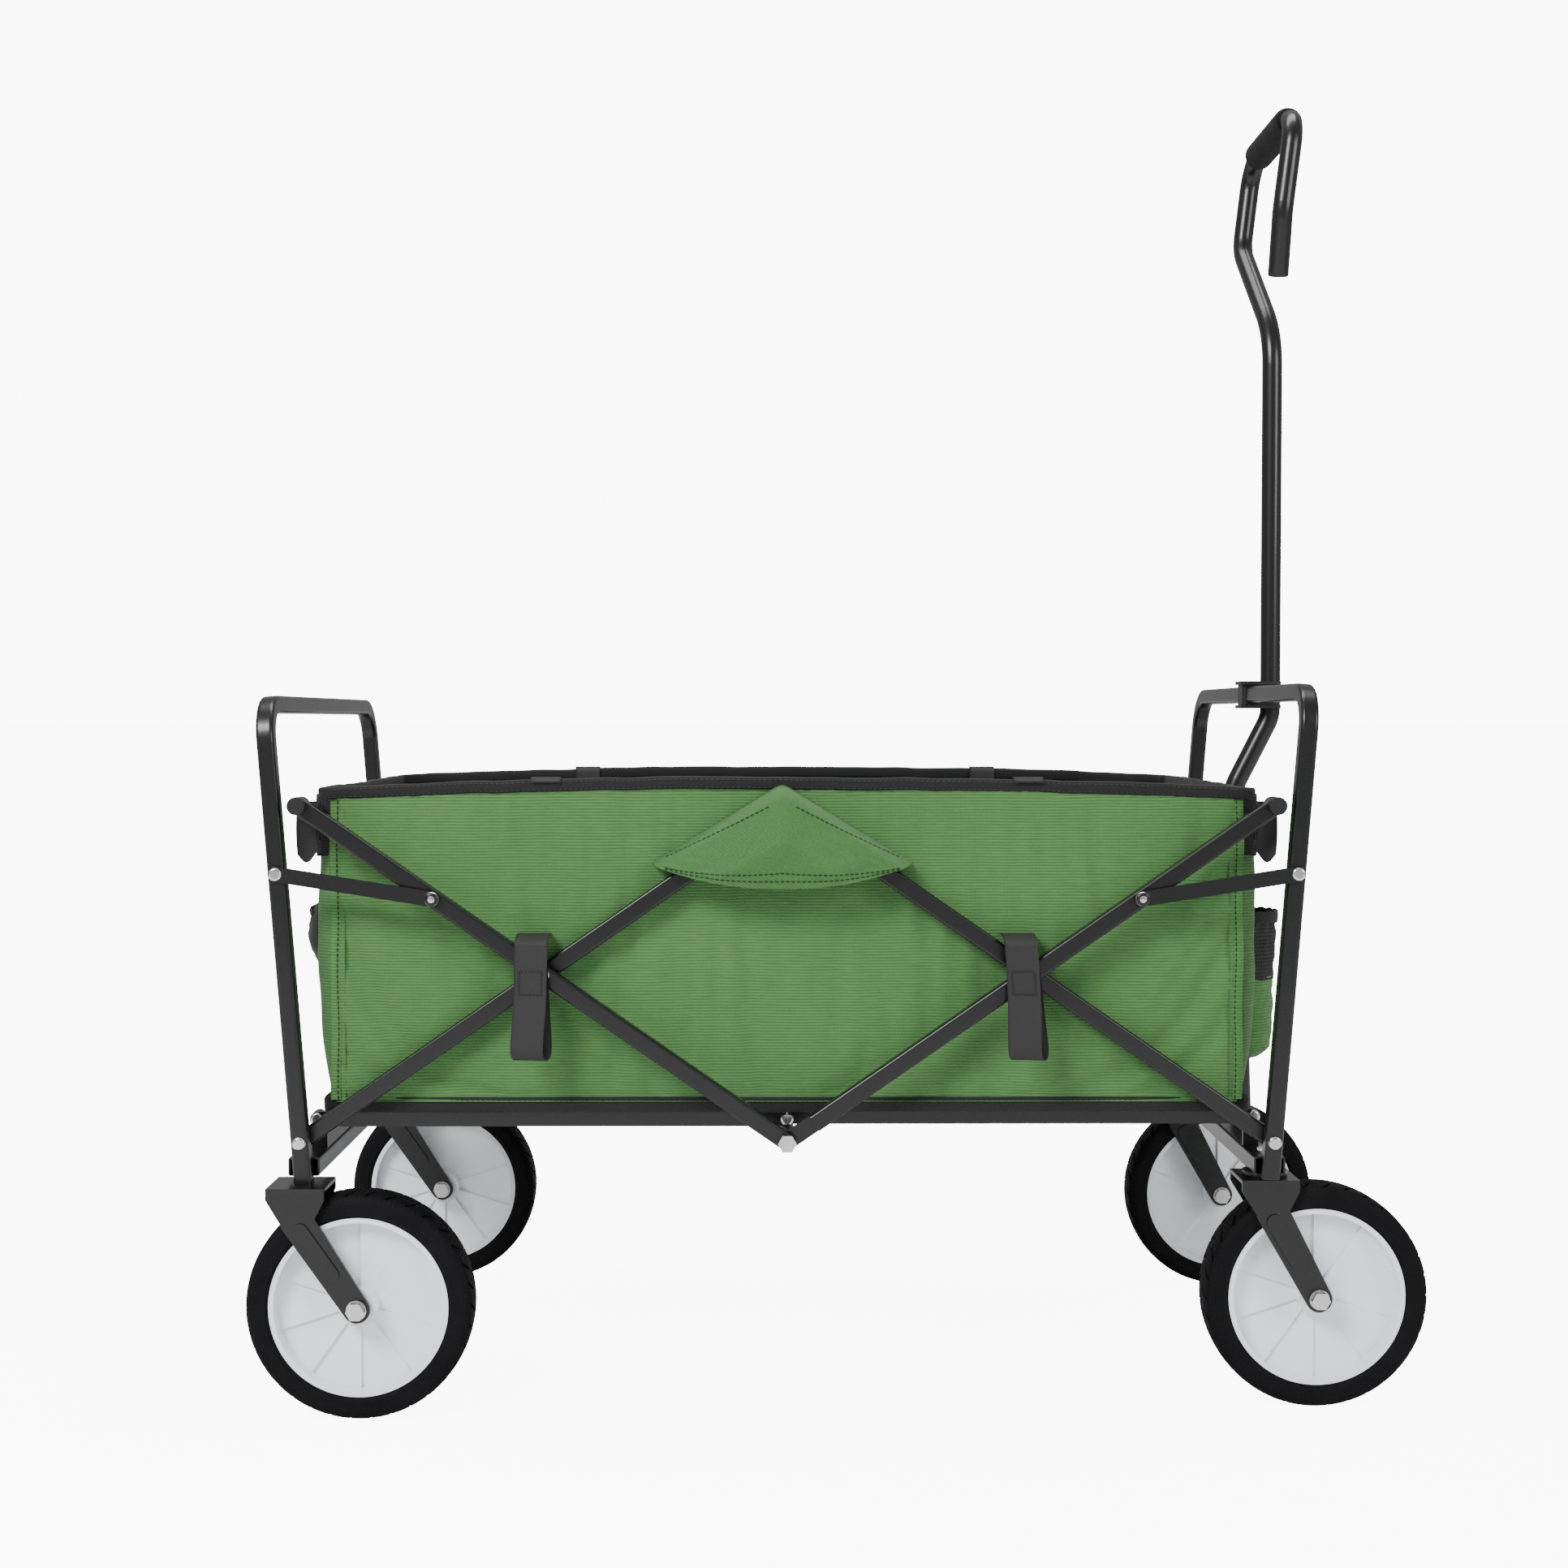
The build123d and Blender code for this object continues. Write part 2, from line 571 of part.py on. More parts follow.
def pull_handle():
    """Pull tube bent into an open loop, its foam grip, its end plug and its pivot bolt."""
    route = [
        (pull_pivot_x, 0, pull_pivot_z),
        (pull_low_x, 0, front_top_z - 85),
        (pull_x, 0, front_top_z - 19),
        (pull_x, 0, loop_start_z),
        (loop_x, loop_half_width - 2, loop_low_z),
        (grip_x, loop_half_width, grip_z),
        (grip_x, -loop_half_width, grip_z),
        (loop_x, -loop_half_width + 1, loop_low_z),
        (loop_x, -loop_half_width + 16, hook_end_z),
    ]
    bends = [40, 32, 70, 34, 26, 26, 40]
    with BuildPart() as pull:
        with BuildLine(Plane(origin=(mid_x, 0, 0))) as path:
            FilletPolyline(*route, radius=bends)
        with BuildSketch(Plane(origin=path.line @ 0, x_dir=(0, 1, 0), z_dir=path.line % 0)):
            Circle(pull_r)
            Circle(pull_r - pull_wall, mode=Mode.SUBTRACT)
        sweep()
        with BuildSketch(Plane(origin=(mid_x + pull_pivot_x, pull_r, pull_pivot_z), x_dir=(1, 0, 0), z_dir=(0, -1, 0))):
            Circle(pull_r + 1)
        extrude(amount=2 * pull_r)
        with BuildSketch(Plane(origin=(mid_x + pull_pivot_x, 20, pull_pivot_z), x_dir=(1, 0, 0), z_dir=(0, -1, 0))):
            Circle(pin_r + pin_play)
        extrude(amount=40, mode=Mode.SUBTRACT)
    write(pull, "pull_tube")

    with BuildPart() as plug:
        tail = path.line % 1
        with BuildSketch(Plane(origin=path.line @ 1, z_dir=tail)):
            Circle(pull_r)
        extrude(amount=4)
        fillet(plug.faces().sort_by(Axis.Z)[0].edges(), 2)
        with BuildSketch(Plane(origin=path.line @ 1, z_dir=tail)):
            Circle(pull_r - pull_wall)
        extrude(amount=-12)
    write(plug, "pull_end_plug")

    with BuildPart() as grip:
        with BuildSketch(Plane(origin=(mid_x + grip_x, grip_length / 2, grip_z), x_dir=(1, 0, 0), z_dir=(0, -1, 0))):
            Circle(grip_r)
            Circle(pull_r, mode=Mode.SUBTRACT)
        extrude(amount=grip_length)
        fillet(grip.edges().filter_by(GeomType.CIRCLE).filter_by(lambda e: abs(e.radius - grip_r) < 0.01), 3)
    write(grip, "pull_grip")


def pull_bracket():
    """Two upright cheeks on the front cross bar that hold the pull tube's pivot bolt."""
    face_x = half_span - 1 + cross_bar_depth / 2
    cheek = (pull_r + 0.6, pull_r + 0.6 + plate)
    with BuildPart() as bracket:
        for side in sides.values():
            with BuildSketch(side_plane(side, *cheek)):
                with BuildLine():
                    Polyline(
                        (pull_pivot_x, pull_pivot_z + 10), (face_x, pull_pivot_z + 10),
                        (face_x, pull_pivot_z - 10), (pull_pivot_x, pull_pivot_z - 10),
                    )
                    ThreePointArc(
                        (pull_pivot_x, pull_pivot_z - 10), (pull_pivot_x + 10, pull_pivot_z),
                        (pull_pivot_x, pull_pivot_z + 10),
                    )
                make_face()
                with Locations((pull_pivot_x, pull_pivot_z)):
                    Circle(pin_r, mode=Mode.SUBTRACT)
            extrude(amount=plate)
    write(bracket, "pull_bracket")

    reach = cheek[1]
    across = Plane(origin=(mid_x + pull_pivot_x, reach, pull_pivot_z), x_dir=(1, 0, 0), z_dir=(0, -1, 0))
    with BuildPart() as bolt:
        with BuildSketch(across):
            Circle(pin_r)
        extrude(amount=2 * reach)
        for start in (-4.0, 2 * reach):
            with BuildSketch(across.offset(start)):
                RegularPolygon(5, 6, major_radius=False)
            extrude(amount=4)
    write(bolt, "pull_pivot_bolt")


def handle_clip():
    """Snap clip on the front top bar: a sleeve round the bar and an open cradle for the pull tube."""
    bar_x = half_span + (front_top_z - pivot_z) * math.tan(lean)
    rear_x = bar_x - tube / 2 - 2.5
    front_x = pull_x + 5
    width = 2 * (pull_r + 3.2)
    with BuildPart() as clip:
        for z, height, grow in ((front_top_z - 12, 24, 0), (front_top_z - 12, 3, 3.5), (front_top_z + 9, 3, 3.5)):
            with BuildSketch(Plane.XY.offset(z)):
                with Locations((mid_x + (rear_x + front_x) / 2, 0)):
                    RectangleRounded(front_x - rear_x + grow, width + 2 * grow, 3)
            extrude(amount=height)
        with BuildSketch(Plane.XY.offset(front_top_z - 20)):
            with Locations((mid_x + pull_x, 0)):
                Circle(pull_r + 0.3)
            with Locations((mid_x + pull_x + 15, 0)):
                Rectangle(30, 2 * (pull_r + 0.3))
        extrude(amount=40, mode=Mode.SUBTRACT)
        with BuildSketch(Plane(origin=(mid_x + bar_x, -40, front_top_z), x_dir=(math.cos(lean), 0, -math.sin(lean)),
                               z_dir=(0, 1, 0))):
            RectangleRounded(tube, tube, tube_corner)
        extrude(amount=80, mode=Mode.SUBTRACT)
    write(clip, "handle_clip")


def tub_walls():
    """Fabric walls of the tub: two sides, two ends that wrap the corners, and the rim binding."""
    wall_z = tub_bottom_z + binding_height
    wall_height = rim_z - rim_height - wall_z
    for side_name, side in sides.items():
        with BuildPart() as panel:
            with BuildSketch(Plane.XY.offset(wall_z)):
                with Locations((mid_x, side * (tub_half_width - cloth / 2))):
                    Rectangle(2 * seam_x, cloth)
            extrude(amount=wall_height)
        write(panel, f"side_panel_{side_name}")
    for end_name, end in ends.items():
        with BuildPart() as panel:
            with BuildSketch(Plane.XY.offset(wall_z)):
                with Locations((mid_x, 0)):
                    RectangleRounded(2 * tub_half_length, 2 * tub_half_width, tub_corner)
                    RectangleRounded(
                        2 * (tub_half_length - cloth), 2 * (tub_half_width - cloth), tub_corner - cloth,
                        mode=Mode.SUBTRACT,
                    )
                with Locations((mid_x + end * (seam_x + 50), 0)):
                    Rectangle(100, 3 * tub_half_width, mode=Mode.INTERSECT)
            extrude(amount=wall_height)
        write(panel, f"end_panel_{end_name}")
    for label, z, height, grow in (("rim_binding", rim_z - rim_height, rim_height, 1.0),
                                   ("bottom_binding", tub_bottom_z, binding_height, 0.5)):
        with BuildPart() as band:
            with BuildSketch(Plane.XY.offset(z)):
                with Locations((mid_x, 0)):
                    RectangleRounded(2 * (tub_half_length + grow), 2 * (tub_half_width + grow), tub_corner + grow)
                    inset = cloth + grow
                    RectangleRounded(
                        2 * (tub_half_length - inset), 2 * (tub_half_width - inset), tub_corner - inset,
                        mode=Mode.SUBTRACT,
                    )
            extrude(amount=height)
        write(band, label)


def tub_floor():
    """Padded mat with sewn-in stiffeners, lying between the walls."""
    inset = cloth + 0.5
    with BuildPart() as mat:
        with BuildSketch(Plane.XY.offset(tub_bottom_z)):
            with Locations((mid_x, 0)):
                RectangleRounded(2 * (tub_half_length - inset), 2 * (tub_half_width - inset), tub_corner - inset)
        extrude(amount=mat_thick)
    write(mat, "floor_mat")


def flaps():
    """Fan-shaped flaps that hang from the rim over the scissor's top middle pivots."""
    layer = (link_layer[0] + head_h, link_layer[0] + head_h + 2)
    with BuildPart() as pair:
        for side in sides.values():
            with BuildSketch(side_plane(side, *layer)):
                with BuildLine():
                    Polyline(
                        (-flap_half_width, flap_tip_z), (-8, flap_top_z), (8, flap_top_z),
                        (flap_half_width, flap_tip_z),
                    )
                    ThreePointArc((flap_half_width, flap_tip_z), (0, flap_bottom_z), (-flap_half_width, flap_tip_z))
                make_face()
            extrude(amount=layer_depth(layer))
    write(pair, "flaps")


def straps():
    """Webbing straps that hang down over the arm crossings."""
    layer = (link_layer[0] + head_h, link_layer[0] + head_h + strap_thick)
    with BuildPart() as loops:
        for side in sides.values():
            with BuildSketch(side_plane(side, *layer)):
                for end in ends.values():
                    with Locations((end * half_span / 2, (strap_top_z + strap_bottom_z) / 2)):
                        RectangleRounded(strap_width, strap_top_z - strap_bottom_z, 3)
            extrude(amount=layer_depth(layer))
    write(loops, "straps")


def pockets():
    """Cup holders on the front end and a low pouch on the rear end."""
    with BuildPart() as cups:
        for side in sides.values():
            with BuildSketch(Plane.XY.offset(cup_bottom_z)):
                with Locations((mid_x + tub_half_length, side * cup_y)):
                    Circle(cup_r)
                    Circle(cup_r - 2, mode=Mode.SUBTRACT)
                with Locations((mid_x + tub_half_length + 50, side * cup_y)):
                    Rectangle(100, 2 * cup_r, mode=Mode.INTERSECT)
            extrude(amount=cup_top_z - cup_bottom_z)
            with BuildSketch(Plane.XY.offset(cup_bottom_z)):
                with Locations((mid_x + tub_half_length, side * cup_y)):
                    Circle(cup_r)
                with Locations((mid_x + tub_half_length + 50, side * cup_y)):
                    Rectangle(100, 2 * cup_r, mode=Mode.INTERSECT)
            extrude(amount=2)
    write(cups, "cup_holders")
    with BuildPart() as pouch:
        with BuildSketch(Plane.XZ.offset(-pouch_half_width)):
            with Locations((mid_x - tub_half_length, pouch_z)):
                Ellipse(pouch_reach, pouch_half_height)
            with Locations((mid_x - tub_half_length - 50, pouch_z)):
                Rectangle(100, 100, mode=Mode.INTERSECT)
        extrude(amount=2 * pouch_half_width)
    write(pouch, "rear_pouch")


scissor_arms()
for name, sign in ends.items():
    corner_knobs(f"{name}_corner_knobs", sign)
    rivets(f"{name}_arm_rivets", [
        (sign * half_span / 2, (pivot_z + arm_top_z) / 2, lower_arm[0], upper_arm[1]),
    ])
    rivets(f"{name}_frame_rivets", [
        (sign * half_span, pivot_z, lower_arm[0], post_outer),
        (sign * link_post_x, link_post_z, post_inner, link_layer[1]),
        (sign * rail_pivot_x, rail_z, (rear_rail if sign < 0 else front_rail)[0] - rail_gap / 2 - plate,
         (rear_rail if sign < 0 else front_rail)[1]),
    ])
    links(f"{name}_links", sign)
rivets("top_middle_rivets", [(0, arm_top_z, lower_arm[0], lower_arm[1])])
rivets("base_hinge_rivets", [(0, rail_z, *rear_rail)], tail=rail_gap / 2)
middle_cross_tube()
middle_bolts()
handle_frame("rear", -1, rear_top_z, crown_z + plate)
handle_frame("front", 1, front_top_z, cross_bar_bottom - 1)
cross_bar("rear", -1, rear_rail)
cross_bar("front", 1, front_rail)
base_half("rear", -1, rear_rail)
base_half("front", 1, front_rail)
for name, sign in sides.items():
    fork(f"rear_fork_{name}", sign, -half_span, rear_hub_inset - half_span, frame_y, False)
    fork(f"caster_fork_{name}", sign, half_span, half_span + caster_trail, caster_y, True)
    axle_bolts(f"caster_axle_{name}", [(half_span + caster_trail, sign * caster_y)])
axle_bolts("rear_axle_bolts", [(rear_hub_inset - half_span, sign * frame_y) for sign in sides.values()])
caster_kingpins()
caster_bearings()
wheels()
pull_handle()
pull_bracket()
handle_clip()
tub_walls()
tub_floor()
flaps()
straps()
pockets()
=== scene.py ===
"""Folding utility wagon: finishes, cloth tub, webbing and studio round the fixed CAD frame."""

import json
import logging
import math
from dataclasses import dataclass, field
from enum import Enum

import bpy
import numpy as np
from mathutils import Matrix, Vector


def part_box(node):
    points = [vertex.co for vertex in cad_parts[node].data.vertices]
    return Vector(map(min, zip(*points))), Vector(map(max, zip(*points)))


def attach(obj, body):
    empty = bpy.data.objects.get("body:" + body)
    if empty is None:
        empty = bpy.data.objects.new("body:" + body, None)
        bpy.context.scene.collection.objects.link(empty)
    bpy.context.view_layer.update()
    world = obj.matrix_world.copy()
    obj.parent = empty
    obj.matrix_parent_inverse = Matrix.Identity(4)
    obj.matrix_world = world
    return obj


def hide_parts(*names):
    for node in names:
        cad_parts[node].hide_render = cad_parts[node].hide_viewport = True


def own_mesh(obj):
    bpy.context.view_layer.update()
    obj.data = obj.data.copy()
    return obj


logging.basicConfig(level=logging.INFO, format="%(message)s")
log = logging.getLogger("wagon")

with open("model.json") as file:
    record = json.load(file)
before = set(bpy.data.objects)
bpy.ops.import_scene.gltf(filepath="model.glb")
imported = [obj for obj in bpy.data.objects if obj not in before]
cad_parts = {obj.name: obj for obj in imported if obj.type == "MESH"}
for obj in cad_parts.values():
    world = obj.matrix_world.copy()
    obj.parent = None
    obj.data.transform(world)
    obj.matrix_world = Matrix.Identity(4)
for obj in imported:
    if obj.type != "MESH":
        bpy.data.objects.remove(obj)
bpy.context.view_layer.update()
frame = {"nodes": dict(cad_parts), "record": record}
TAU = 2 * math.pi
MM = 0.001
CLOTH = 1.2 * MM
WALL_BEND = 22 * MM
PATCH_LEAD = 24 * MM
STRAP_DEPTH = 9.4 * MM
TREAD_RADIUS = 84.5 * MM
SKY_SEEN, SKY_CAST = 10.0, 0.45
FLOOR_SEEN = 9.0
SENSOR_WIDTH = 36.0

Triple = tuple[float, float, float]
Operand = bpy.types.NodeSocket | float


class Side(Enum):
    """The two long sides of the wagon, as signs along Y."""

    NEAR = -1
    FAR = 1

    @property
    def tag(self) -> str:
        """Its word in the names of pieces and nodes."""
        return self.name.lower()

    @property
    def out(self) -> np.ndarray:
        """Unit vector that points away from the wagon on this side."""
        return np.array([0.0, self.value, 0.0])


class End(Enum):
    """The two ends of the wagon, as signs along X."""

    REAR = -1
    FRONT = 1

    @property
    def tag(self) -> str:
        """Its word in the names of pieces and nodes."""
        return self.name.lower()


# ------------------------------------------------------------------ places read from the frame
def span(node: str, axis: int) -> tuple[float, float]:
    """Lowest and highest coordinate of a CAD node along one axis.

    Args:
        node: name of the CAD node.
        axis: 0, 1 or 2 for X, Y or Z.

    Returns:
        The two coordinates in metres.
    """
    low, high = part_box(node)
    return low[axis], high[axis]


@dataclass(frozen=True)
class TubPlace:
    """Where the cloth tub stands, read from its plain CAD solids."""

    mid_x: float
    seam: float
    half_length: float
    half_width: float
    bottom: float
    wall_low: float
    wall_high: float
    corner: float = 14 * MM
    rise: float = 9 * MM

    def arch(self, x: np.ndarray) -> np.ndarray:
        """How far the rim rises above its ends: a flat parabola along X, highest at the middle."""
        share = np.clip((x - self.mid_x) / self.half_length, -1, 1)
        return self.rise * (1 - share**2)


def tub_place() -> TubPlace:
    """Reads the tub's size from the CAD nodes.

    Returns:
        The tub's place, in metres.
    """
    x0, x1 = span("bottom_binding", 0)
    mid = (x0 + x1) / 2
    return TubPlace(
        mid_x=mid,
        seam=span("side_panel_near", 0)[1] - mid,
        half_length=span("end_panel_front", 0)[1] - mid,
        half_width=span("side_panel_far", 1)[1],
        bottom=span("bottom_binding", 2)[0],
        wall_low=span("side_panel_near", 2)[0],
        wall_high=span("side_panel_near", 2)[1],
    )


# ------------------------------------------------------------------ node groups
def group_tree(name: str, inputs: dict[str, float], outputs: tuple[str, ...]) -> bpy.types.NodeTree:
    """A shader node group with float sockets.

    Args:
        name: name of the group.
        inputs: socket names and their default values.
        outputs: names of the output sockets.

    Returns:
        The new node tree, with its group input and output nodes.
    """
    tree = bpy.data.node_groups.new(name, "ShaderNodeTree")
    for label, value in inputs.items():
        socket = tree.interface.new_socket(label, in_out="INPUT", socket_type="NodeSocketFloat")
        socket.default_value = value
    for label in outputs:
        tree.interface.new_socket(label, in_out="OUTPUT", socket_type="NodeSocketFloat")
    tree.nodes.new("NodeGroupInput").name = "in"
    tree.nodes.new("NodeGroupOutput").name = "out"
    return tree


def math_node(tree: bpy.types.NodeTree, kind: str, a: Operand,
              b: Operand | None = None) -> bpy.types.NodeSocket:
    """A math node whose operands are sockets or numbers.

    Args:
        tree: the tree that gets the node.
        kind: the operation, such as MULTIPLY.
        a: first operand.
        b: second operand, if the operation has one.

    Returns:
        The node's output socket.
    """
    node = tree.nodes.new("ShaderNodeMath")
    node.operation = kind
    for index, value in enumerate((a, b)):
        if value is None:
            continue
        if isinstance(value, (int, float)):
            node.inputs[index].default_value = value
        else:
            tree.links.new(value, node.inputs[index])
    return node.outputs[0]


def times(tree: bpy.types.NodeTree, a: Operand, b: Operand) -> bpy.types.NodeSocket:
    """The product of two sockets or numbers, as a socket."""
    return math_node(tree, "MULTIPLY", a, b)


def plus(tree: bpy.types.NodeTree, a: Operand, b: Operand) -> bpy.types.NodeSocket:
    """The sum of two sockets or numbers, as a socket."""
    return math_node(tree, "ADD", a, b)


def object_axes(tree: bpy.types.NodeTree) -> bpy.types.Node:
    """Separated object coordinates, in metres in the wagon's frame.

    Args:
        tree: the tree that gets the nodes.

    Returns:
        The node whose outputs are X, Y and Z.
    """
    coords = tree.nodes.new("ShaderNodeTexCoord")
    split = tree.nodes.new("ShaderNodeSeparateXYZ")
    tree.links.new(coords.outputs["Object"], split.inputs[0])
    return split


def noise(tree: bpy.types.NodeTree, scale: float, detail: float,
          stretch: Triple = (1, 1, 1)) -> bpy.types.NodeSocket:
    """Noise in object coordinates.

    Args:
        tree: the tree that gets the node.
        scale: cells per metre.
        detail: octaves.
        stretch: factors on the three axes before the noise is read.

    Returns:
        The noise value socket, about 0 to 1.
    """
    coords = tree.nodes.new("ShaderNodeTexCoord")
    scaled = tree.nodes.new("ShaderNodeVectorMath")
    scaled.operation = "MULTIPLY"
    scaled.inputs[1].default_value = stretch
    texture = tree.nodes.new("ShaderNodeTexNoise")
    texture.inputs["Scale"].default_value = scale
    texture.inputs["Detail"].default_value = detail
    tree.links.new(coords.outputs["Object"], scaled.inputs[0])
    tree.links.new(scaled.outputs[0], texture.inputs["Vector"])
    return texture.outputs["Fac"]


def wave(tree: bpy.types.NodeTree, coordinate: bpy.types.NodeSocket,
         per_metre: Operand) -> bpy.types.NodeSocket:
    """A sine of a coordinate, 0 to 1.

    Args:
        tree: the tree that gets the nodes.
        coordinate: the coordinate, in metres.
        per_metre: periods per metre.

    Returns:
        The sine's socket.
    """
    phase = times(tree, coordinate, per_metre)
    turned = times(tree, phase, TAU)
    sine = math_node(tree, "SINE", turned)
    half = times(tree, sine, 0.5)
    return plus(tree, half, 0.5)


def rib_weave_group() -> bpy.types.NodeTree:
    """Cloth with level ribs crossed by finer threads: Height for bump, Tone for colour, 0 to 1. Tone is
    painted shade, darker in the rib hollows, over random slub and broad tone.

    Returns:
        The new group.
    """
    tree = group_tree("Rib weave", {"Ribs per metre": 420.0, "Threads per metre": 900.0, "Unevenness": 0.5},
                      ("Height", "Tone"))
    given = tree.nodes["in"]
    axes = object_axes(tree)
    drift = times(tree, noise(tree, 9.0, 2.0), 0.004)
    level = plus(tree, axes.outputs["Z"], drift)
    ribs = wave(tree, level, given.outputs["Ribs per metre"])
    along = plus(tree, axes.outputs["X"], axes.outputs["Y"])
    threads = wave(tree, along, given.outputs["Threads per metre"])
    slub = noise(tree, 60.0, 3.0, (1.0, 1.0, 22.0))
    woven = times(tree, threads, 0.35)
    raised = plus(tree, ribs, woven)
    uneven = times(tree, slub, given.outputs["Unevenness"])
    height = plus(tree, raised, uneven)
    broad = noise(tree, 5.0, 3.0)
    # Painted shade: the rib wave that drives the bump also darkens the colour in the rib hollows and lightens
    # the crests.
    painted_rib_shade = times(tree, ribs, 0.35)
    slubbed = times(tree, slub, 0.45)
    tone = plus(tree, painted_rib_shade, slubbed)
    tone = plus(tree, tone, times(tree, broad, 0.3))
    tree.links.new(height, tree.nodes["out"].inputs["Height"])
    tree.links.new(tone, tree.nodes["out"].inputs["Tone"])
    return tree


def twill_group() -> bpy.types.NodeTree:
    """Twill or webbing: slanting cords with a cross thread. Height for bump, Tone for colour: painted shade
    between the cords, over random fuzz.

    Returns:
        The new group.
    """
    tree = group_tree("Twill", {"Cords per metre": 500.0, "Slant": 0.6}, ("Height", "Tone"))
    given = tree.nodes["in"]
    axes = object_axes(tree)
    along = plus(tree, axes.outputs["X"], axes.outputs["Y"])
    lean = times(tree, along, given.outputs["Slant"])
    cords = wave(tree, plus(tree, axes.outputs["Z"], lean), given.outputs["Cords per metre"])
    cross = wave(tree, along, 700.0)
    fuzz = noise(tree, 500.0, 3.0)
    height = plus(tree, cords, times(tree, cross, 0.5))
    # Painted shade: the cord wave that drives the bump also darkens the colour between the cords.
    painted_cord_shade = times(tree, cords, 0.5)
    fuzzy = times(tree, fuzz, 0.5)
    tone = plus(tree, painted_cord_shade, fuzzy)
    tree.links.new(height, tree.nodes["out"].inputs["Height"])
    tree.links.new(tone, tree.nodes["out"].inputs["Tone"])
    return tree


def open_mesh_group() -> bpy.types.NodeTree:
    """Knitted mesh: round holes in a staggered grid, as Height (0 in a hole) and Tone. Tone is the same
    value, so each hole is painted dark as the shade seen through it.

    Returns:
        The new group.
    """
    tree = group_tree("Open mesh", {"Holes per metre": 330.0}, ("Height", "Tone"))
    given = tree.nodes["in"]
    axes = object_axes(tree)
    along = plus(tree, axes.outputs["X"], axes.outputs["Y"])
    across = wave(tree, along, given.outputs["Holes per metre"])
    up = wave(tree, axes.outputs["Z"], given.outputs["Holes per metre"])
    hole = times(tree, across, up)
    height = math_node(tree, "SUBTRACT", 1.0, hole)
    tree.links.new(height, tree.nodes["out"].inputs["Height"])
    # Painted shade: Tone is the height, so the holes take the dark tone of the shade behind the mesh.
    tree.links.new(height, tree.nodes["out"].inputs["Tone"])
    return tree


def coat_group() -> bpy.types.NodeTree:
    """Sprayed or moulded skin: fine orange peel as Height, and dust and handling marks as Tone.

    Returns:
        The new group.
    """
    tree = group_tree("Coat", {"Grain per metre": 1400.0, "Dust": 0.5}, ("Height", "Tone"))
    given = tree.nodes["in"]
    coords = tree.nodes.new("ShaderNodeTexCoord")
    grain = tree.nodes.new("ShaderNodeTexNoise")
    grain.inputs["Detail"].default_value = 2.0
    tree.links.new(coords.outputs["Object"], grain.inputs["Vector"])
    tree.links.new(given.outputs["Grain per metre"], grain.inputs["Scale"])
    marks = noise(tree, 35.0, 6.0)
    settled = times(tree, marks, given.outputs["Dust"])
    tree.links.new(grain.outputs["Fac"], tree.nodes["out"].inputs["Height"])
    tree.links.new(settled, tree.nodes["out"].inputs["Tone"])
    return tree


def tread_group() -> bpy.types.NodeTree:
    """Tyre relief round a hub at (Hub X, Hub Z): fine radial sipes on the tread, rings on the walls.

    Returns:
        The new group.
    """
    tree = group_tree("Tread", {"Hub X": 0.0, "Hub Z": 0.09, "Sipes": 68.0}, ("Height", "Tone"))
    given = tree.nodes["in"]
    axes = object_axes(tree)
    dx = math_node(tree, "SUBTRACT", axes.outputs["X"], given.outputs["Hub X"])
    dz = math_node(tree, "SUBTRACT", axes.outputs["Z"], given.outputs["Hub Z"])
    angle = math_node(tree, "ARCTAN2", dz, dx)
    turned = times(tree, angle, given.outputs["Sipes"])
    sipes = math_node(tree, "ABSOLUTE", math_node(tree, "SINE", turned))
    square = plus(tree, times(tree, dx, dx), times(tree, dz, dz))
    radius = math_node(tree, "SQRT", square)
    rings = wave(tree, radius, 330.0)
    outside = math_node(tree, "GREATER_THAN", radius, TREAD_RADIUS)
    inside = math_node(tree, "SUBTRACT", 1.0, outside)
    cut = times(tree, sipes, outside)
    moulded = times(tree, times(tree, rings, inside), 0.35)
    grit = times(tree, noise(tree, 900.0, 3.0), 0.25)
    height = plus(tree, plus(tree, cut, moulded), grit)
    tree.links.new(height, tree.nodes["out"].inputs["Height"])
    tree.links.new(noise(tree, 40.0, 4.0), tree.nodes["out"].inputs["Tone"])
    return tree


class Relief(Enum):
    """The surface effects that finishes share."""

    RIB = "Rib weave"
    TWILL = "Twill"
    MESH = "Open mesh"
    COAT = "Coat"
    TREAD = "Tread"


MAKERS = {
    Relief.RIB: rib_weave_group,
    Relief.TWILL: twill_group,
    Relief.MESH: open_mesh_group,
    Relief.COAT: coat_group,
    Relief.TREAD: tread_group,
}


def relief_tree(relief: Relief) -> bpy.types.NodeTree:
    """The node group of an effect, made the first time it is asked for."""
    return bpy.data.node_groups.get(relief.value) or MAKERS[relief]()


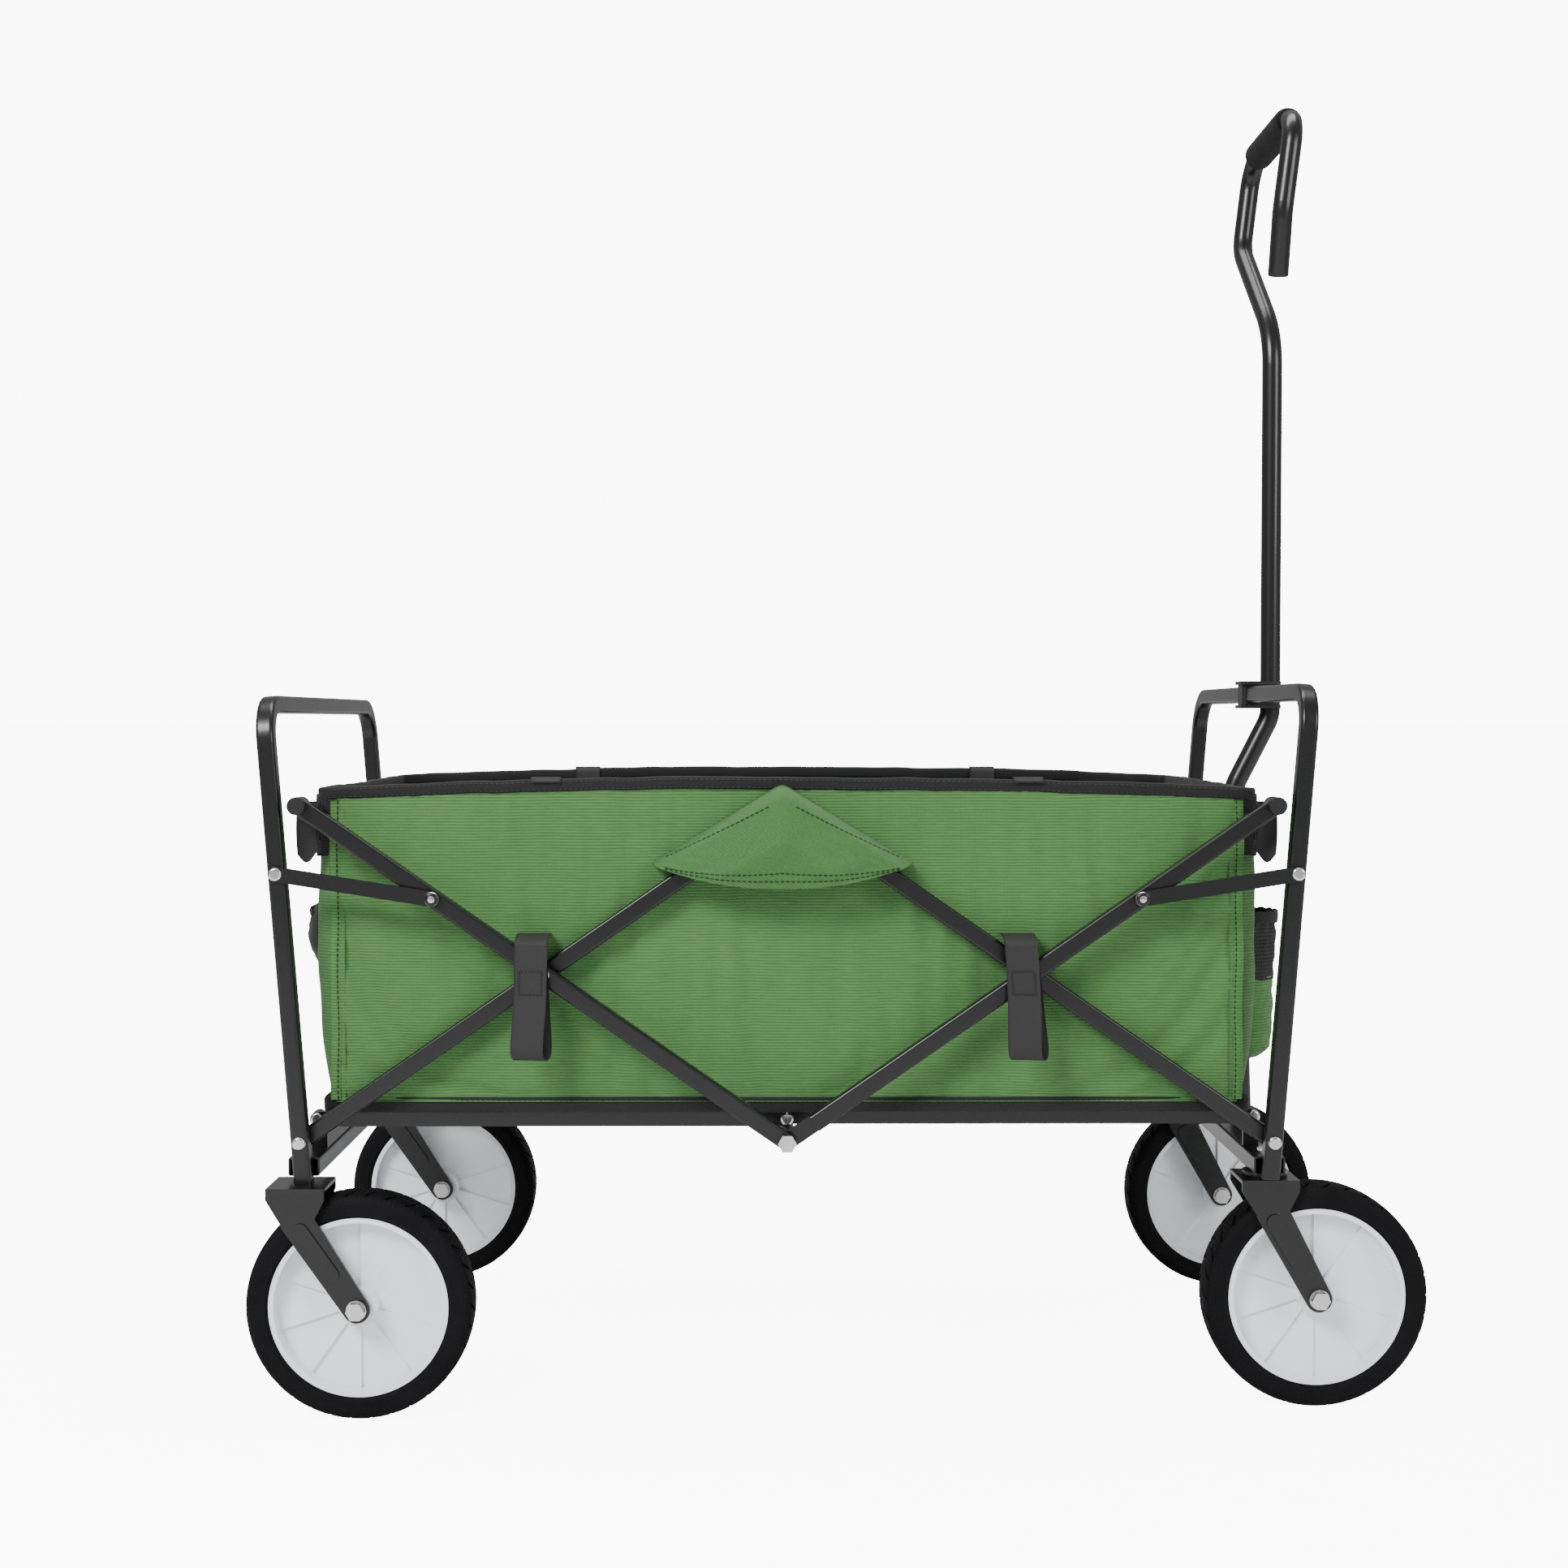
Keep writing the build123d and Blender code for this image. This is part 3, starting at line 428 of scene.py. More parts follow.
@dataclass(frozen=True)
class Finish:
    """One finish: two tones mixed by its relief's Tone, and the shader's plain numbers."""

    name: str
    slot: str
    dark: Triple
    light: Triple
    relief: Relief
    roughness: float = 0.5
    metallic: float = 0.0
    sheen: float = 0.0
    coat: float = 0.0
    specular: float = 0.5
    bump: float = 0.3
    depth: float = 0.3 * MM
    sockets: dict[str, float] = field(default_factory=dict)

    def material(self) -> bpy.types.Material:
        """The finish as a material, made once and shared.

        Returns:
            The material.
        """
        known = bpy.data.materials.get(self.name)
        if known:
            return known
        made = bpy.data.materials.new(self.name)
        made.use_nodes = True
        tree = made.node_tree
        shader = tree.nodes["Principled BSDF"]
        shader.inputs["Roughness"].default_value = self.roughness
        shader.inputs["Metallic"].default_value = self.metallic
        shader.inputs["Sheen Weight"].default_value = self.sheen
        shader.inputs["Coat Weight"].default_value = self.coat
        shader.inputs["Specular IOR Level"].default_value = self.specular
        group = tree.nodes.new("ShaderNodeGroup")
        group.node_tree = relief_tree(self.relief)
        for label, value in self.sockets.items():
            group.inputs[label].default_value = value
        mix = tree.nodes.new("ShaderNodeMix")
        mix.data_type = "RGBA"
        mix.inputs["A"].default_value = (*self.dark, 1)
        mix.inputs["B"].default_value = (*self.light, 1)
        tree.links.new(group.outputs["Tone"], mix.inputs["Factor"])
        tree.links.new(mix.outputs["Result"], shader.inputs["Base Color"])
        bump = tree.nodes.new("ShaderNodeBump")
        bump.inputs["Strength"].default_value = self.bump
        bump.inputs["Distance"].default_value = self.depth
        tree.links.new(group.outputs["Height"], bump.inputs["Height"])
        tree.links.new(bump.outputs["Normal"], shader.inputs["Normal"])
        made.diffuse_color = (*self.light, 1)
        return made


STEEL = Finish("black_powder_coat", "powder_coat", (0.003, 0.003, 0.0035), (0.007, 0.007, 0.008), Relief.COAT,
               roughness=0.3, coat=0.1, specular=0.42, bump=0.12, depth=0.15 * MM)
ZINC = Finish("zinc_plate", "zinc", (0.52, 0.52, 0.51), (0.8, 0.8, 0.79), Relief.COAT,
              roughness=0.24, metallic=1.0, bump=0.1, depth=0.1 * MM, sockets={"Dust": 0.9})
BLACK_PLASTIC = Finish("black_moulding", "black_plastic", (0.006, 0.006, 0.0065), (0.014, 0.014, 0.015),
                       Relief.COAT, roughness=0.42, specular=0.4, bump=0.2, depth=0.15 * MM,
                       sockets={"Grain per metre": 2200.0})
WHITE_PLASTIC = Finish("white_moulding", "white_plastic", (0.84, 0.87, 0.9), (0.92, 0.94, 0.96), Relief.COAT,
                       roughness=0.2, coat=0.5, bump=0.06, depth=0.1 * MM, sockets={"Dust": 0.8})
FOAM = Finish("black_foam", "foam", (0.006, 0.006, 0.006), (0.02, 0.02, 0.02), Relief.COAT,
              roughness=0.85, specular=0.25, bump=0.5, depth=0.4 * MM, sockets={"Grain per metre": 900.0})
GREEN = Finish("green_oxford", "green_cloth", (0.012, 0.06, 0.008), (0.108, 0.268, 0.082), Relief.RIB,
               roughness=0.8, sheen=0.12, specular=0.25, bump=0.7, depth=0.5 * MM)
GREEN_TWILL = Finish("green_twill", "green_cloth", (0.022, 0.08, 0.017), (0.07, 0.19, 0.052), Relief.TWILL,
                     roughness=0.8, sheen=0.1, specular=0.25, bump=0.4, depth=0.3 * MM)
WEBBING = Finish("black_webbing", "black_webbing", (0.002, 0.002, 0.002), (0.009, 0.009, 0.0095),
                 Relief.TWILL, roughness=0.8, sheen=0.03, specular=0.12, bump=0.6, depth=0.4 * MM,
                 sockets={"Slant": 0.0})
BINDING = Finish("black_binding", "black_webbing", (0.003, 0.003, 0.004), (0.014, 0.014, 0.015), Relief.TWILL,
                 roughness=0.7, sheen=0.08, specular=0.25, bump=0.35, depth=0.25 * MM,
                 sockets={"Cords per metre": 900.0})
BLACK_CLOTH = Finish("black_oxford", "black_webbing", (0.004, 0.004, 0.004), (0.018, 0.018, 0.019),
                     Relief.RIB, roughness=0.78, sheen=0.08, specular=0.2, bump=0.4, depth=0.4 * MM)
MESH = Finish("black_mesh", "black_webbing", (0.001, 0.001, 0.001), (0.028, 0.028, 0.029), Relief.MESH,
              roughness=0.7, specular=0.2, bump=0.8, depth=0.6 * MM)
THREAD = Finish("dark_green_thread", "green_cloth", (0.006, 0.025, 0.005), (0.02, 0.06, 0.015), Relief.COAT,
                roughness=0.7, specular=0.3, bump=0.2)
BLACK_THREAD = Finish("black_thread", "black_webbing", (0.012, 0.012, 0.012), (0.035, 0.035, 0.035),
                      Relief.COAT, roughness=0.6, specular=0.3, bump=0.2)
FLOOR = Finish("pale_floor", "none", (0.86, 0.86, 0.86), (0.88, 0.88, 0.88), Relief.COAT,
               roughness=0.9, bump=0.0)


def tyre_finish(hub: tuple[float, float], name: str) -> Finish:
    """Tyre rubber whose tread runs round one wheel's hub, given as (x, z)."""
    return Finish(f"rubber_{name}", "tyre_rubber", (0.003, 0.003, 0.0035), (0.008, 0.008, 0.009),
                  Relief.TREAD, roughness=0.7, specular=0.08, bump=0.45, depth=0.7 * MM,
                  sockets={"Hub X": hub[0], "Hub Z": hub[1]})


# ------------------------------------------------------------------ mesh tools
def grid_faces(rows: int, columns: int, close_columns: bool = False) -> np.ndarray:
    """Quads of a grid of points stored row by row.

    Args:
        rows: number of rows.
        columns: number of points in a row.
        close_columns: True if each row is a closed loop.

    Returns:
        An array of vertex numbers, four to a face.
    """
    last = columns if close_columns else columns - 1
    r, c = np.meshgrid(np.arange(rows - 1), np.arange(last), indexing="ij")
    n = (c + 1) % columns
    quads = [r * columns + c, r * columns + n, (r + 1) * columns + n, (r + 1) * columns + c]
    return np.stack(quads, -1).reshape(-1, 4)


def two_skins(rows: int, columns: int) -> np.ndarray:
    """Quads of a grid, of its copy stored after it, and of the strip that closes the edge between them.

    Args:
        rows: number of rows of one grid.
        columns: number of points in a row.

    Returns:
        The quads of the closed shape as vertex numbers.
    """
    count = rows * columns
    faces = grid_faces(rows, columns)
    top = np.arange(columns)
    bottom = (rows - 1) * columns + top
    left = np.arange(rows) * columns
    right = left + columns - 1
    loop = np.concatenate([top, right[1:], bottom[::-1][1:], left[::-1][1:-1]])
    after = np.roll(loop, -1)
    edge = np.stack([loop, after, after + count, loop + count], -1)
    return np.concatenate([faces, faces[:, ::-1] + count, edge])


def turned_out(points: np.ndarray, faces: np.ndarray) -> np.ndarray:
    """Quads turned so that a closed shape's faces point out: its volume, summed over tetrahedra, is positive.

    Args:
        points: vertex places as (n, 3).
        faces: quads as vertex numbers.

    Returns:
        The quads, reversed if the volume was negative.
    """
    a, b, c, d = (points[faces[:, k]] - points.mean(0) for k in range(4))
    volume = np.sum(a * (np.cross(b, c) + np.cross(c, d)))
    return faces if volume > 0 else faces[:, ::-1]


def mesh_piece(name: str, points: np.ndarray, faces: np.ndarray, finish: Finish,
               closed: bool = True) -> bpy.types.Object:
    """A smooth-shaded mesh object made from whole arrays.

    Args:
        name: name of the new piece.
        points: vertex places in the wagon's frame, any shape ending in 3.
        faces: quads as vertex numbers.
        finish: its finish.
        closed: True for a closed shape, whose faces are then turned outwards.

    Returns:
        The new object, linked to the scene.
    """
    points = points.reshape(-1, 3)
    faces = turned_out(points, faces) if closed else faces
    mesh = bpy.data.meshes.new(name)
    mesh.from_pydata(points.tolist(), [], faces.tolist())
    mesh.polygons.foreach_set("use_smooth", np.ones(len(mesh.polygons), dtype=bool))
    mesh.materials.append(finish.material())
    mesh.update()
    piece = bpy.data.objects.new(name, mesh)
    bpy.context.scene.collection.objects.link(piece)
    return piece


def vertex_places(piece: bpy.types.Object) -> np.ndarray:
    """Places of a mesh object's vertices.

    Args:
        piece: the object, or its evaluated copy.

    Returns:
        The places as (n, 3).
    """
    places = np.empty(len(piece.data.vertices) * 3)
    piece.data.vertices.foreach_get("co", places)
    return places.reshape(-1, 3)


def surface(x: np.ndarray, y: np.ndarray, z: np.ndarray) -> np.ndarray:
    """A grid of points from three coordinates that broadcast together."""
    return np.stack(np.broadcast_arrays(x, y, z), -1)


def slab(name: str, face: np.ndarray, thickness: float, outward: np.ndarray,
         finish: Finish) -> bpy.types.Object:
    """A closed sheet: a face grid and its copy moved inwards, with strips round the four edges.

    Args:
        name: name of the new piece.
        face: outer surface as (rows, columns, 3).
        thickness: thickness of the sheet.
        outward: outward directions, broadcastable to face.
        finish: its finish.

    Returns:
        The new object.
    """
    back = face - thickness * np.broadcast_to(outward, face.shape)
    return mesh_piece(name, np.stack([face, back]), two_skins(*face.shape[:2]), finish)


def smooth_path(points: list[tuple[float, float]], steps: int = 10) -> np.ndarray:
    """A Catmull-Rom curve through 2-D points.

    Args:
        points: the points to pass through.
        steps: samples between neighbours.

    Returns:
        The samples as (n, 2).
    """
    given = np.array(points, float)
    padded = np.vstack([2 * given[0] - given[1], given, 2 * given[-1] - given[-2]])
    t = np.linspace(0, 1, steps, endpoint=False)[:, None]
    spans = []
    for a, b, c, d in zip(padded, padded[1:], padded[2:], padded[3:]):
        bend, twist = 2 * a - 5 * b + 4 * c - d, 3 * b - a - 3 * c + d
        spans.append(0.5 * (2 * b + (c - a) * t + bend * t**2 + twist * t**3))
    return np.vstack(spans + [given[-1:]])


def ripple(u: np.ndarray, v: np.ndarray, seed: int, waves: int = 7) -> np.ndarray:
    """Soft seeded unevenness of about unit height: a sum of slanting sines of u and v, finer ones lower.

    Args:
        u: first parameter.
        v: second parameter, the same shape.
        seed: choice of phases and directions.
        waves: number of sines.

    Returns:
        The heights, the same shape.
    """
    rng = np.random.default_rng(seed)
    total = np.zeros(np.broadcast(u, v).shape)
    for k in range(waves):
        a, b = rng.uniform(0.5, 1.6, 2) * (k + 1)
        total = total + np.sin(TAU * (a * u + b * v * rng.choice([-1, 1])) + rng.uniform(0, TAU)) / (k + 1.5)
    return total


def band(name: str, path: np.ndarray, across: np.ndarray, half: tuple[float, float], finish: Finish,
         closed: bool = True) -> bpy.types.Object:
    """A flat band swept along a path: its section is a superellipse, wide along Z and thin along across.

    Args:
        name: name of the new piece.
        path: middle line as (n, 3).
        across: unit vectors through the band's thickness as (n, 3).
        half: half thickness and half height.
        finish: its finish.
        closed: True if the path is a loop.

    Returns:
        The new object.
    """
    turn = np.linspace(0, TAU, 20, endpoint=False)
    flat = np.sign(np.cos(turn)) * np.abs(np.cos(turn)) ** 0.6 * half[0]
    tall = np.sign(np.sin(turn)) * np.abs(np.sin(turn)) ** 0.5 * half[1]
    up = np.array([0.0, 0.0, 1.0])
    points = path[:, None] + flat[None, :, None] * across[:, None] + tall[None, :, None] * up
    if not closed:
        ends = np.broadcast_to(path[[0, -1], None], (2, len(turn), 3))
        points = np.concatenate([ends[:1], points, ends[1:]])
    faces = grid_faces(len(points) + closed, len(turn), close_columns=True) % (len(points) * len(turn))
    return mesh_piece(name, points, faces, finish)


def stitches(name: str, path: np.ndarray, outward: np.ndarray, finish: Finish, pitch: float = 4.2 * MM,
             closed: bool = False) -> bpy.types.Object:
    """A row of sewn stitches: small drop-shaped ellipsoids laid end to end along a path.

    Args:
        name: name of the new piece.
        path: the seam line as (n, 3).
        outward: unit vectors away from the cloth as (n, 3) or (3,).
        finish: its finish.
        pitch: distance from one stitch to the next.
        closed: True if the path is a loop.

    Returns:
        The new object.
    """
    line = np.vstack([path, path[:1]]) if closed else path
    out = np.broadcast_to(outward, path.shape)
    out = np.vstack([out, out[:1]]) if closed else out
    length = np.concatenate([[0], np.cumsum(np.linalg.norm(np.diff(line, axis=0), axis=1))])
    count = max(2, int(length[-1] / pitch))
    middles = (np.arange(count) + 0.5) * length[-1] / count
    at = np.stack([np.interp(middles, length, line[:, k]) for k in range(3)], -1)
    ahead = np.stack([np.interp(middles + 0.5 * MM, length, line[:, k]) for k in range(3)], -1)
    behind = np.stack([np.interp(middles - 0.5 * MM, length, line[:, k]) for k in range(3)], -1)
    along = ahead - behind
    along /= np.linalg.norm(along, axis=1)[:, None]
    lift = np.stack([np.interp(middles, length, out[:, k]) for k in range(3)], -1)
    lift /= np.linalg.norm(lift, axis=1)[:, None]
    wide = np.cross(along, lift)
    polar = np.linspace(0, math.pi, 5)
    turn = np.linspace(0, TAU, 6, endpoint=False)
    p, q = np.meshgrid(polar, turn, indexing="ij")
    wide_half, thick_half = 0.55 * MM, 0.5 * MM
    local = np.stack([np.cos(p) * 0.42 * pitch, np.sin(p) * np.cos(q) * wide_half,
                      np.sin(p) * np.sin(q) * thick_half], -1)
    points = (at[:, None, None] + local[None, ..., :1] * along[:, None, None]
              + local[None, ..., 1:2] * wide[:, None, None] + local[None, ..., 2:] * lift[:, None, None])
    one = grid_faces(*p.shape, close_columns=True)
    faces = (one[None] + p.size * np.arange(count)[:, None, None]).reshape(-1, 4)
    return mesh_piece(name, points, faces, finish)


def settle(piece: bpy.types.Object, pinned: np.ndarray, pressure: float, gravity: float, frames: int,
           limit: float) -> None:
    """Runs a cloth simulation on a piece and keeps its result, each point moved no further than a limit.

    Args:
        piece: the cloth.
        pinned: True for each vertex that is sewn down.
        pressure: inflation, 0 for an open sheet.
        gravity: share of gravity that acts.
        frames: how long to run.
        limit: the furthest that a point may end from where it began.
    """
    start = vertex_places(piece)
    group = piece.vertex_groups.new(name="sewn")
    group.add(np.flatnonzero(pinned).tolist(), 1.0, "REPLACE")
    modifier = piece.modifiers.new("Cloth", "CLOTH")
    settings = modifier.settings
    settings.quality = 6
    settings.mass = 0.25
    settings.tension_stiffness = 25
    settings.compression_stiffness = 12
    settings.bending_stiffness = 0.8
    settings.effector_weights.gravity = gravity
    settings.shrink_min = -0.012
    if pinned.any():
        settings.vertex_group_mass = "sewn"
    if pressure:
        settings.use_pressure = True
        settings.uniform_pressure_force = pressure
    scene = bpy.context.scene
    for number in range(1, frames + 1):
        scene.frame_set(number)
    moved = vertex_places(piece.evaluated_get(bpy.context.evaluated_depsgraph_get()))
    scene.frame_set(1)
    piece.modifiers.remove(modifier)
    shift = moved - start
    reach = np.linalg.norm(shift, axis=1)
    shift *= np.minimum(1, limit / np.maximum(reach, 1e-9))[:, None]
    piece.data.vertices.foreach_set("co", (start + shift).ravel())
    piece.data.update()


def with_tub(piece: bpy.types.Object) -> None:
    """Ties a piece to the tub's body, so that it rises with it, and gives it a mesh of its own.

    Args:
        piece: the piece.
    """
    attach(piece, "tub")
    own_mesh(piece)


# ------------------------------------------------------------------ the tub
@dataclass
class Tub:
    """Cloth tub: walls, bindings, lining tabs, seams and padded floor."""

    place: TubPlace

    def loop(self, grow: float, z: float, count: int = 520) -> tuple[np.ndarray, np.ndarray]:
        """Middle line round the tub: a rounded rectangle sampled evenly, with its outward directions.

        Args:
            grow: distance outside the tub's faces, negative inside.
            z: height of the line at the tub's ends.
            count: number of samples.

        Returns:
            Points as (count, 3) and unit vectors as (count, 3).
        """
        p = self.place
        a, b, r = p.half_length + grow, p.half_width + grow, p.corner + grow
        straight_x, straight_y, arc = 2 * (a - r), 2 * (b - r), r * math.pi / 2
        corners = ((a - r, -(b - r)), (a - r, b - r), (-(a - r), b - r), (-(a - r), -(b - r)))
        s = np.linspace(0, 2 * (straight_x + straight_y) + 4 * arc, count, endpoint=False)
        x, y, nx, ny = (np.zeros(count) for _ in range(4))
        start = 0.0
        for k, (cx, cy) in enumerate(corners):
            bend = (k - 1) * math.pi / 2
            on_arc = (s >= start) & (s < start + arc)
            angle = bend + (s - start) / r
            x[on_arc] = (cx + r * np.cos(angle))[on_arc]
            y[on_arc] = (cy + r * np.sin(angle))[on_arc]
            nx[on_arc], ny[on_arc] = np.cos(angle)[on_arc], np.sin(angle)[on_arc]
            start += arc
            run = straight_y if k % 2 == 0 else straight_x
            end_angle = bend + math.pi / 2
            on_run = (s >= start) & (s < start + run)
            along = (s - start)[on_run]
            nx[on_run], ny[on_run] = math.cos(end_angle), math.sin(end_angle)
            x[on_run] = cx + r * math.cos(end_angle) - math.sin(end_angle) * along
            y[on_run] = cy + r * math.sin(end_angle) + math.cos(end_angle) * along
            start += run
        points = np.stack([x + p.mid_x, y, np.full(count, z) + p.arch(x + p.mid_x)], -1)
        return points, np.stack([nx, ny, np.zeros(count)], -1)

    def side_wall(self, side: Side) -> bpy.types.Object:
        """Long wall: a level grid slackened by a cloth run.

        Its depth is a sum of broad sines, folds that fan out from the top corners and fade with distance, and
        upright creases where the folding pulls it.

        Args:
            side: near or far.

        Returns:
            The wall.
        """
        p = self.place
        u, v = np.meshgrid(np.linspace(-1, 1, 150), np.linspace(0, 1, 52), indexing="xy")
        x = p.mid_x + u * p.seam
        z = p.wall_low - 2 * MM + v * (p.wall_high + p.arch(x) + 4 * MM - p.wall_low)
        edge = np.sin(math.pi * v) ** 0.5 * (1 - u**8)
        off_x, off_z = (1 - np.abs(u)) * p.seam, (1 - v) * (p.wall_high - p.wall_low)
        away = np.hypot(off_x, off_z)
        fan = np.cos(9 * np.arctan2(off_z, off_x + 1e-6) + 0.6)
        drag = np.exp(-away / 0.2) * fan * np.minimum(away / 0.05, 1)
        crease = np.exp(-((np.abs(u) - 0.52) / 0.06) ** 2) + np.exp(-(u / 0.035) ** 2)
        depth = 2.5 * ripple(u * 1.1, v * 0.5, 5 + side.value) - 4.0 + 4.4 * drag - 2.4 * crease
        depth = np.clip(depth * MM * edge, -6.3 * MM, 1.5 * MM)
        face = np.stack([x, side.value * (p.half_width - 0.4 * MM + depth), z], -1)
        name = f"side_wall_{side.tag}"
        wall = mesh_piece(name, face, grid_faces(*u.shape), GREEN, closed=False)
        sewn = ((v < 0.01) | (v > 0.99) | (np.abs(u) > 0.995)).ravel()
        settle(wall, sewn, pressure=0.0, gravity=0.6, frames=16, limit=6 * MM)
        settled = vertex_places(wall).reshape(face.shape)
        reach = side.value * settled[..., 1]
        settled[..., 1] = side.value * np.clip(reach, p.half_width - 7 * MM, p.half_width + 1.6 * MM)
        bpy.data.objects.remove(wall)
        piece = slab(name, settled, CLOTH, side.out, GREEN)
        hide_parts(f"side_panel_{side.tag}")
        return piece

    def end_wall(self, end: End) -> bpy.types.Object:
        """End wall that wraps both corners: its plan is straight with quarter-round ends, and it bellies out
        as a half sine of height and draws in near the floor.

        Args:
            end: rear or front.

        Returns:
            The wall.
        """
        p = self.place
        r = WALL_BEND
        wrap = p.half_length - r - p.seam
        half = p.half_width - r
        arc = r * math.pi / 2
        total = 2 * (half + arc + max(wrap, 0))
        s = np.linspace(-total / 2, total / 2, 170)
        a = np.clip((np.abs(s) - half) / r, 0, math.pi / 2)
        past = np.maximum(np.abs(s) - half - arc, 0)
        plan_x = p.half_length - r + r * np.cos(a) - past
        plan_y = np.sign(s) * (np.minimum(np.abs(s), half) + r * np.sin(a))
        nx, ny = np.cos(a), np.sign(s) * np.sin(a)
        v = np.linspace(0, 1, 50)[:, None]
        belly = (3.2 * np.sin(math.pi * v) - 9.0 * (1 - v) ** 6) * MM
        wrinkle = 1.7 * MM * ripple(s[None] * 3, v * 0.6, 21 + end.value) * np.sin(math.pi * v)
        out = belly * (1 - 0.85 * np.abs(ny)[None] ** 4) + np.clip(wrinkle, -4 * MM, 0.8 * MM)
        x = p.mid_x + end.value * (plan_x[None] + out * nx[None])
        y = plan_y[None] + out * ny[None] * 0.3
        z = p.wall_low - 2 * MM + v * (p.wall_high + 4 * MM - p.wall_low) + 0 * x
        face = np.stack([x, y, z], -1)
        normal = np.stack([end.value * nx, ny, 0 * nx], -1)[None]
        piece = slab(f"end_wall_{end.tag}", face, CLOTH, normal, GREEN)
        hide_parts(f"end_panel_{end.tag}")
        return piece

    def bindings(self) -> list[bpy.types.Object]:
        """Black tapes folded over the rim and the bottom edge, with two rows of stitches on the rim.

        Returns:
            The two tapes and their rows of stitches.
        """
        p = self.place
        rim_half = 5.2 * MM
        path, out = self.loop(-1.5 * MM, p.wall_high + rim_half - 0.8 * MM)
        turn = np.linspace(0, 1, len(path), endpoint=False)
        path[:, 2] += 0.7 * MM * ripple(turn * 6, turn * 0, 3)
        path += out * (0.8 * MM * ripple(turn * 5, turn * 0, 8))[:, None]
        rim = band("rim_tape", path, out, (3.1 * MM, rim_half), BINDING)
        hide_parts("rim_binding")
        low, low_out = self.loop(-4.5 * MM, p.bottom + 6 * MM)
        low[:, 2] -= p.arch(low[:, 0])
        hem = band("bottom_tape", low, low_out, (2.6 * MM, 6.2 * MM), BINDING)
        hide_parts("bottom_binding")
        pieces = [rim, hem]
        for label, lift in (("upper", 2.6 * MM), ("lower", -3.4 * MM)):
            seam = path + out * 3.1 * MM + np.array([0, 0, lift])
            pieces.append(stitches(f"rim_stitches_{label}", seam, out, BLACK_THREAD, closed=True))
        seam = low + low_out * 2.6 * MM + np.array([0, 0, 3.6 * MM])
        pieces.append(stitches("bottom_stitches", seam, low_out, BLACK_THREAD, closed=True))
        return pieces

    def corner_seams(self) -> list[bpy.types.Object]:
        """Raised seams where the long walls meet the end walls: a narrow strip and a row of stitches each.

        Returns:
            The strips and their stitches.
        """
        p = self.place
        pieces = []
        height = np.linspace(p.wall_low, p.wall_high, 60)
        for side in Side:
            for end in End:
                x = p.mid_x + end.value * p.seam + 0 * height
                wobble = 0.5 * MM * np.sin(height * 70 + end.value)
                wall_y = side.value * (p.half_width + 0.2 * MM) + 0 * height
                line = np.stack([x + wobble, wall_y, height], -1)
                width = np.linspace(-4 * MM, 4 * MM, 7)
                crown = 0.9 * MM * np.cos(width / (4 * MM) * math.pi / 2)
                face = line[:, None] + np.stack([width, side.value * crown, 0 * width], -1)[None]
                tag = f"{end.tag}_{side.tag}"
                pieces.append(slab(f"wall_seam_{tag}", face, 0.8 * MM, side.out, GREEN))
                sewn = line + np.array([-end.value * 2 * MM, side.value * 0.9 * MM, 0])
                pieces.append(stitches(f"wall_stitches_{tag}", sewn, side.out, THREAD))
        return pieces

    def corner_patch(self, side: Side, end: End) -> bpy.types.Object:
        """Black patch under the rim at a corner: a strip bent round the corner's quarter circle.

        Args:
            side: near or far.
            end: rear or front.

        Returns:
            The patch.
        """
        p = self.place
        angle = np.linspace(0, 1.15, 16)
        v = np.linspace(0, 1, 16)[:, None]
        lead = np.linspace(0, PATCH_LEAD, 8)[:-1]
        flat_x, flat_y = p.half_length - WALL_BEND, p.half_width - WALL_BEND
        plan_x = np.concatenate([p.half_length + 0 * lead, flat_x + WALL_BEND * np.cos(angle)])
        plan_y = np.concatenate([flat_y - PATCH_LEAD + lead, flat_y + WALL_BEND * np.sin(angle)])
        nx = np.concatenate([1 + 0 * lead, np.cos(angle)])
        ny = np.concatenate([0 * lead, np.sin(angle)])
        swell = 4.2 * MM + 0.8 * MM * np.sin(math.pi * v)
        drop = (47 + 3 * np.cos(np.linspace(-1.2, 1.2, len(plan_x))))[None] * MM
        x = p.mid_x + end.value * (plan_x + swell * nx)
        y = side.value * (plan_y + 2.6 * MM * ny)
        face = surface(x, y, p.wall_high + 4 * MM - v * drop)
        normal = surface(end.value * nx, side.value * ny, 0 * nx)[None]
        patch = slab(f"corner_patch_{end.tag}_{side.tag}", face, 1.4 * MM, normal, BLACK_CLOTH)
        return patch

    def corner_tab(self, side: Side, end: End) -> bpy.types.Object:
        """Loose tab that reaches from a corner to the arm end, its foot a sine of width that hooks outward.

        Args:
            side: near or far.
            end: rear or front.

        Returns:
            The tab.
        """
        p = self.place
        u, w = np.meshgrid(np.linspace(0, 1, 16), np.linspace(0, 1, 20), indexing="xy")
        reach = p.half_length - 3 * MM + u * 16.5 * MM + 1.5 * MM * np.sin(math.pi * w)
        foot = 44 * MM + 5 * MM * np.sin(u * math.pi * 1.5 - 1.2)
        y = p.half_width + 9 * MM + 1.6 * MM * np.sin(3 * u + 4 * w)
        face = surface(p.mid_x + end.value * reach, side.value * y, p.wall_high - 1 * MM - w * foot)
        tab = slab(f"corner_tab_{end.tag}_{side.tag}", face, 1.6 * MM, side.out, WEBBING)
        return tab

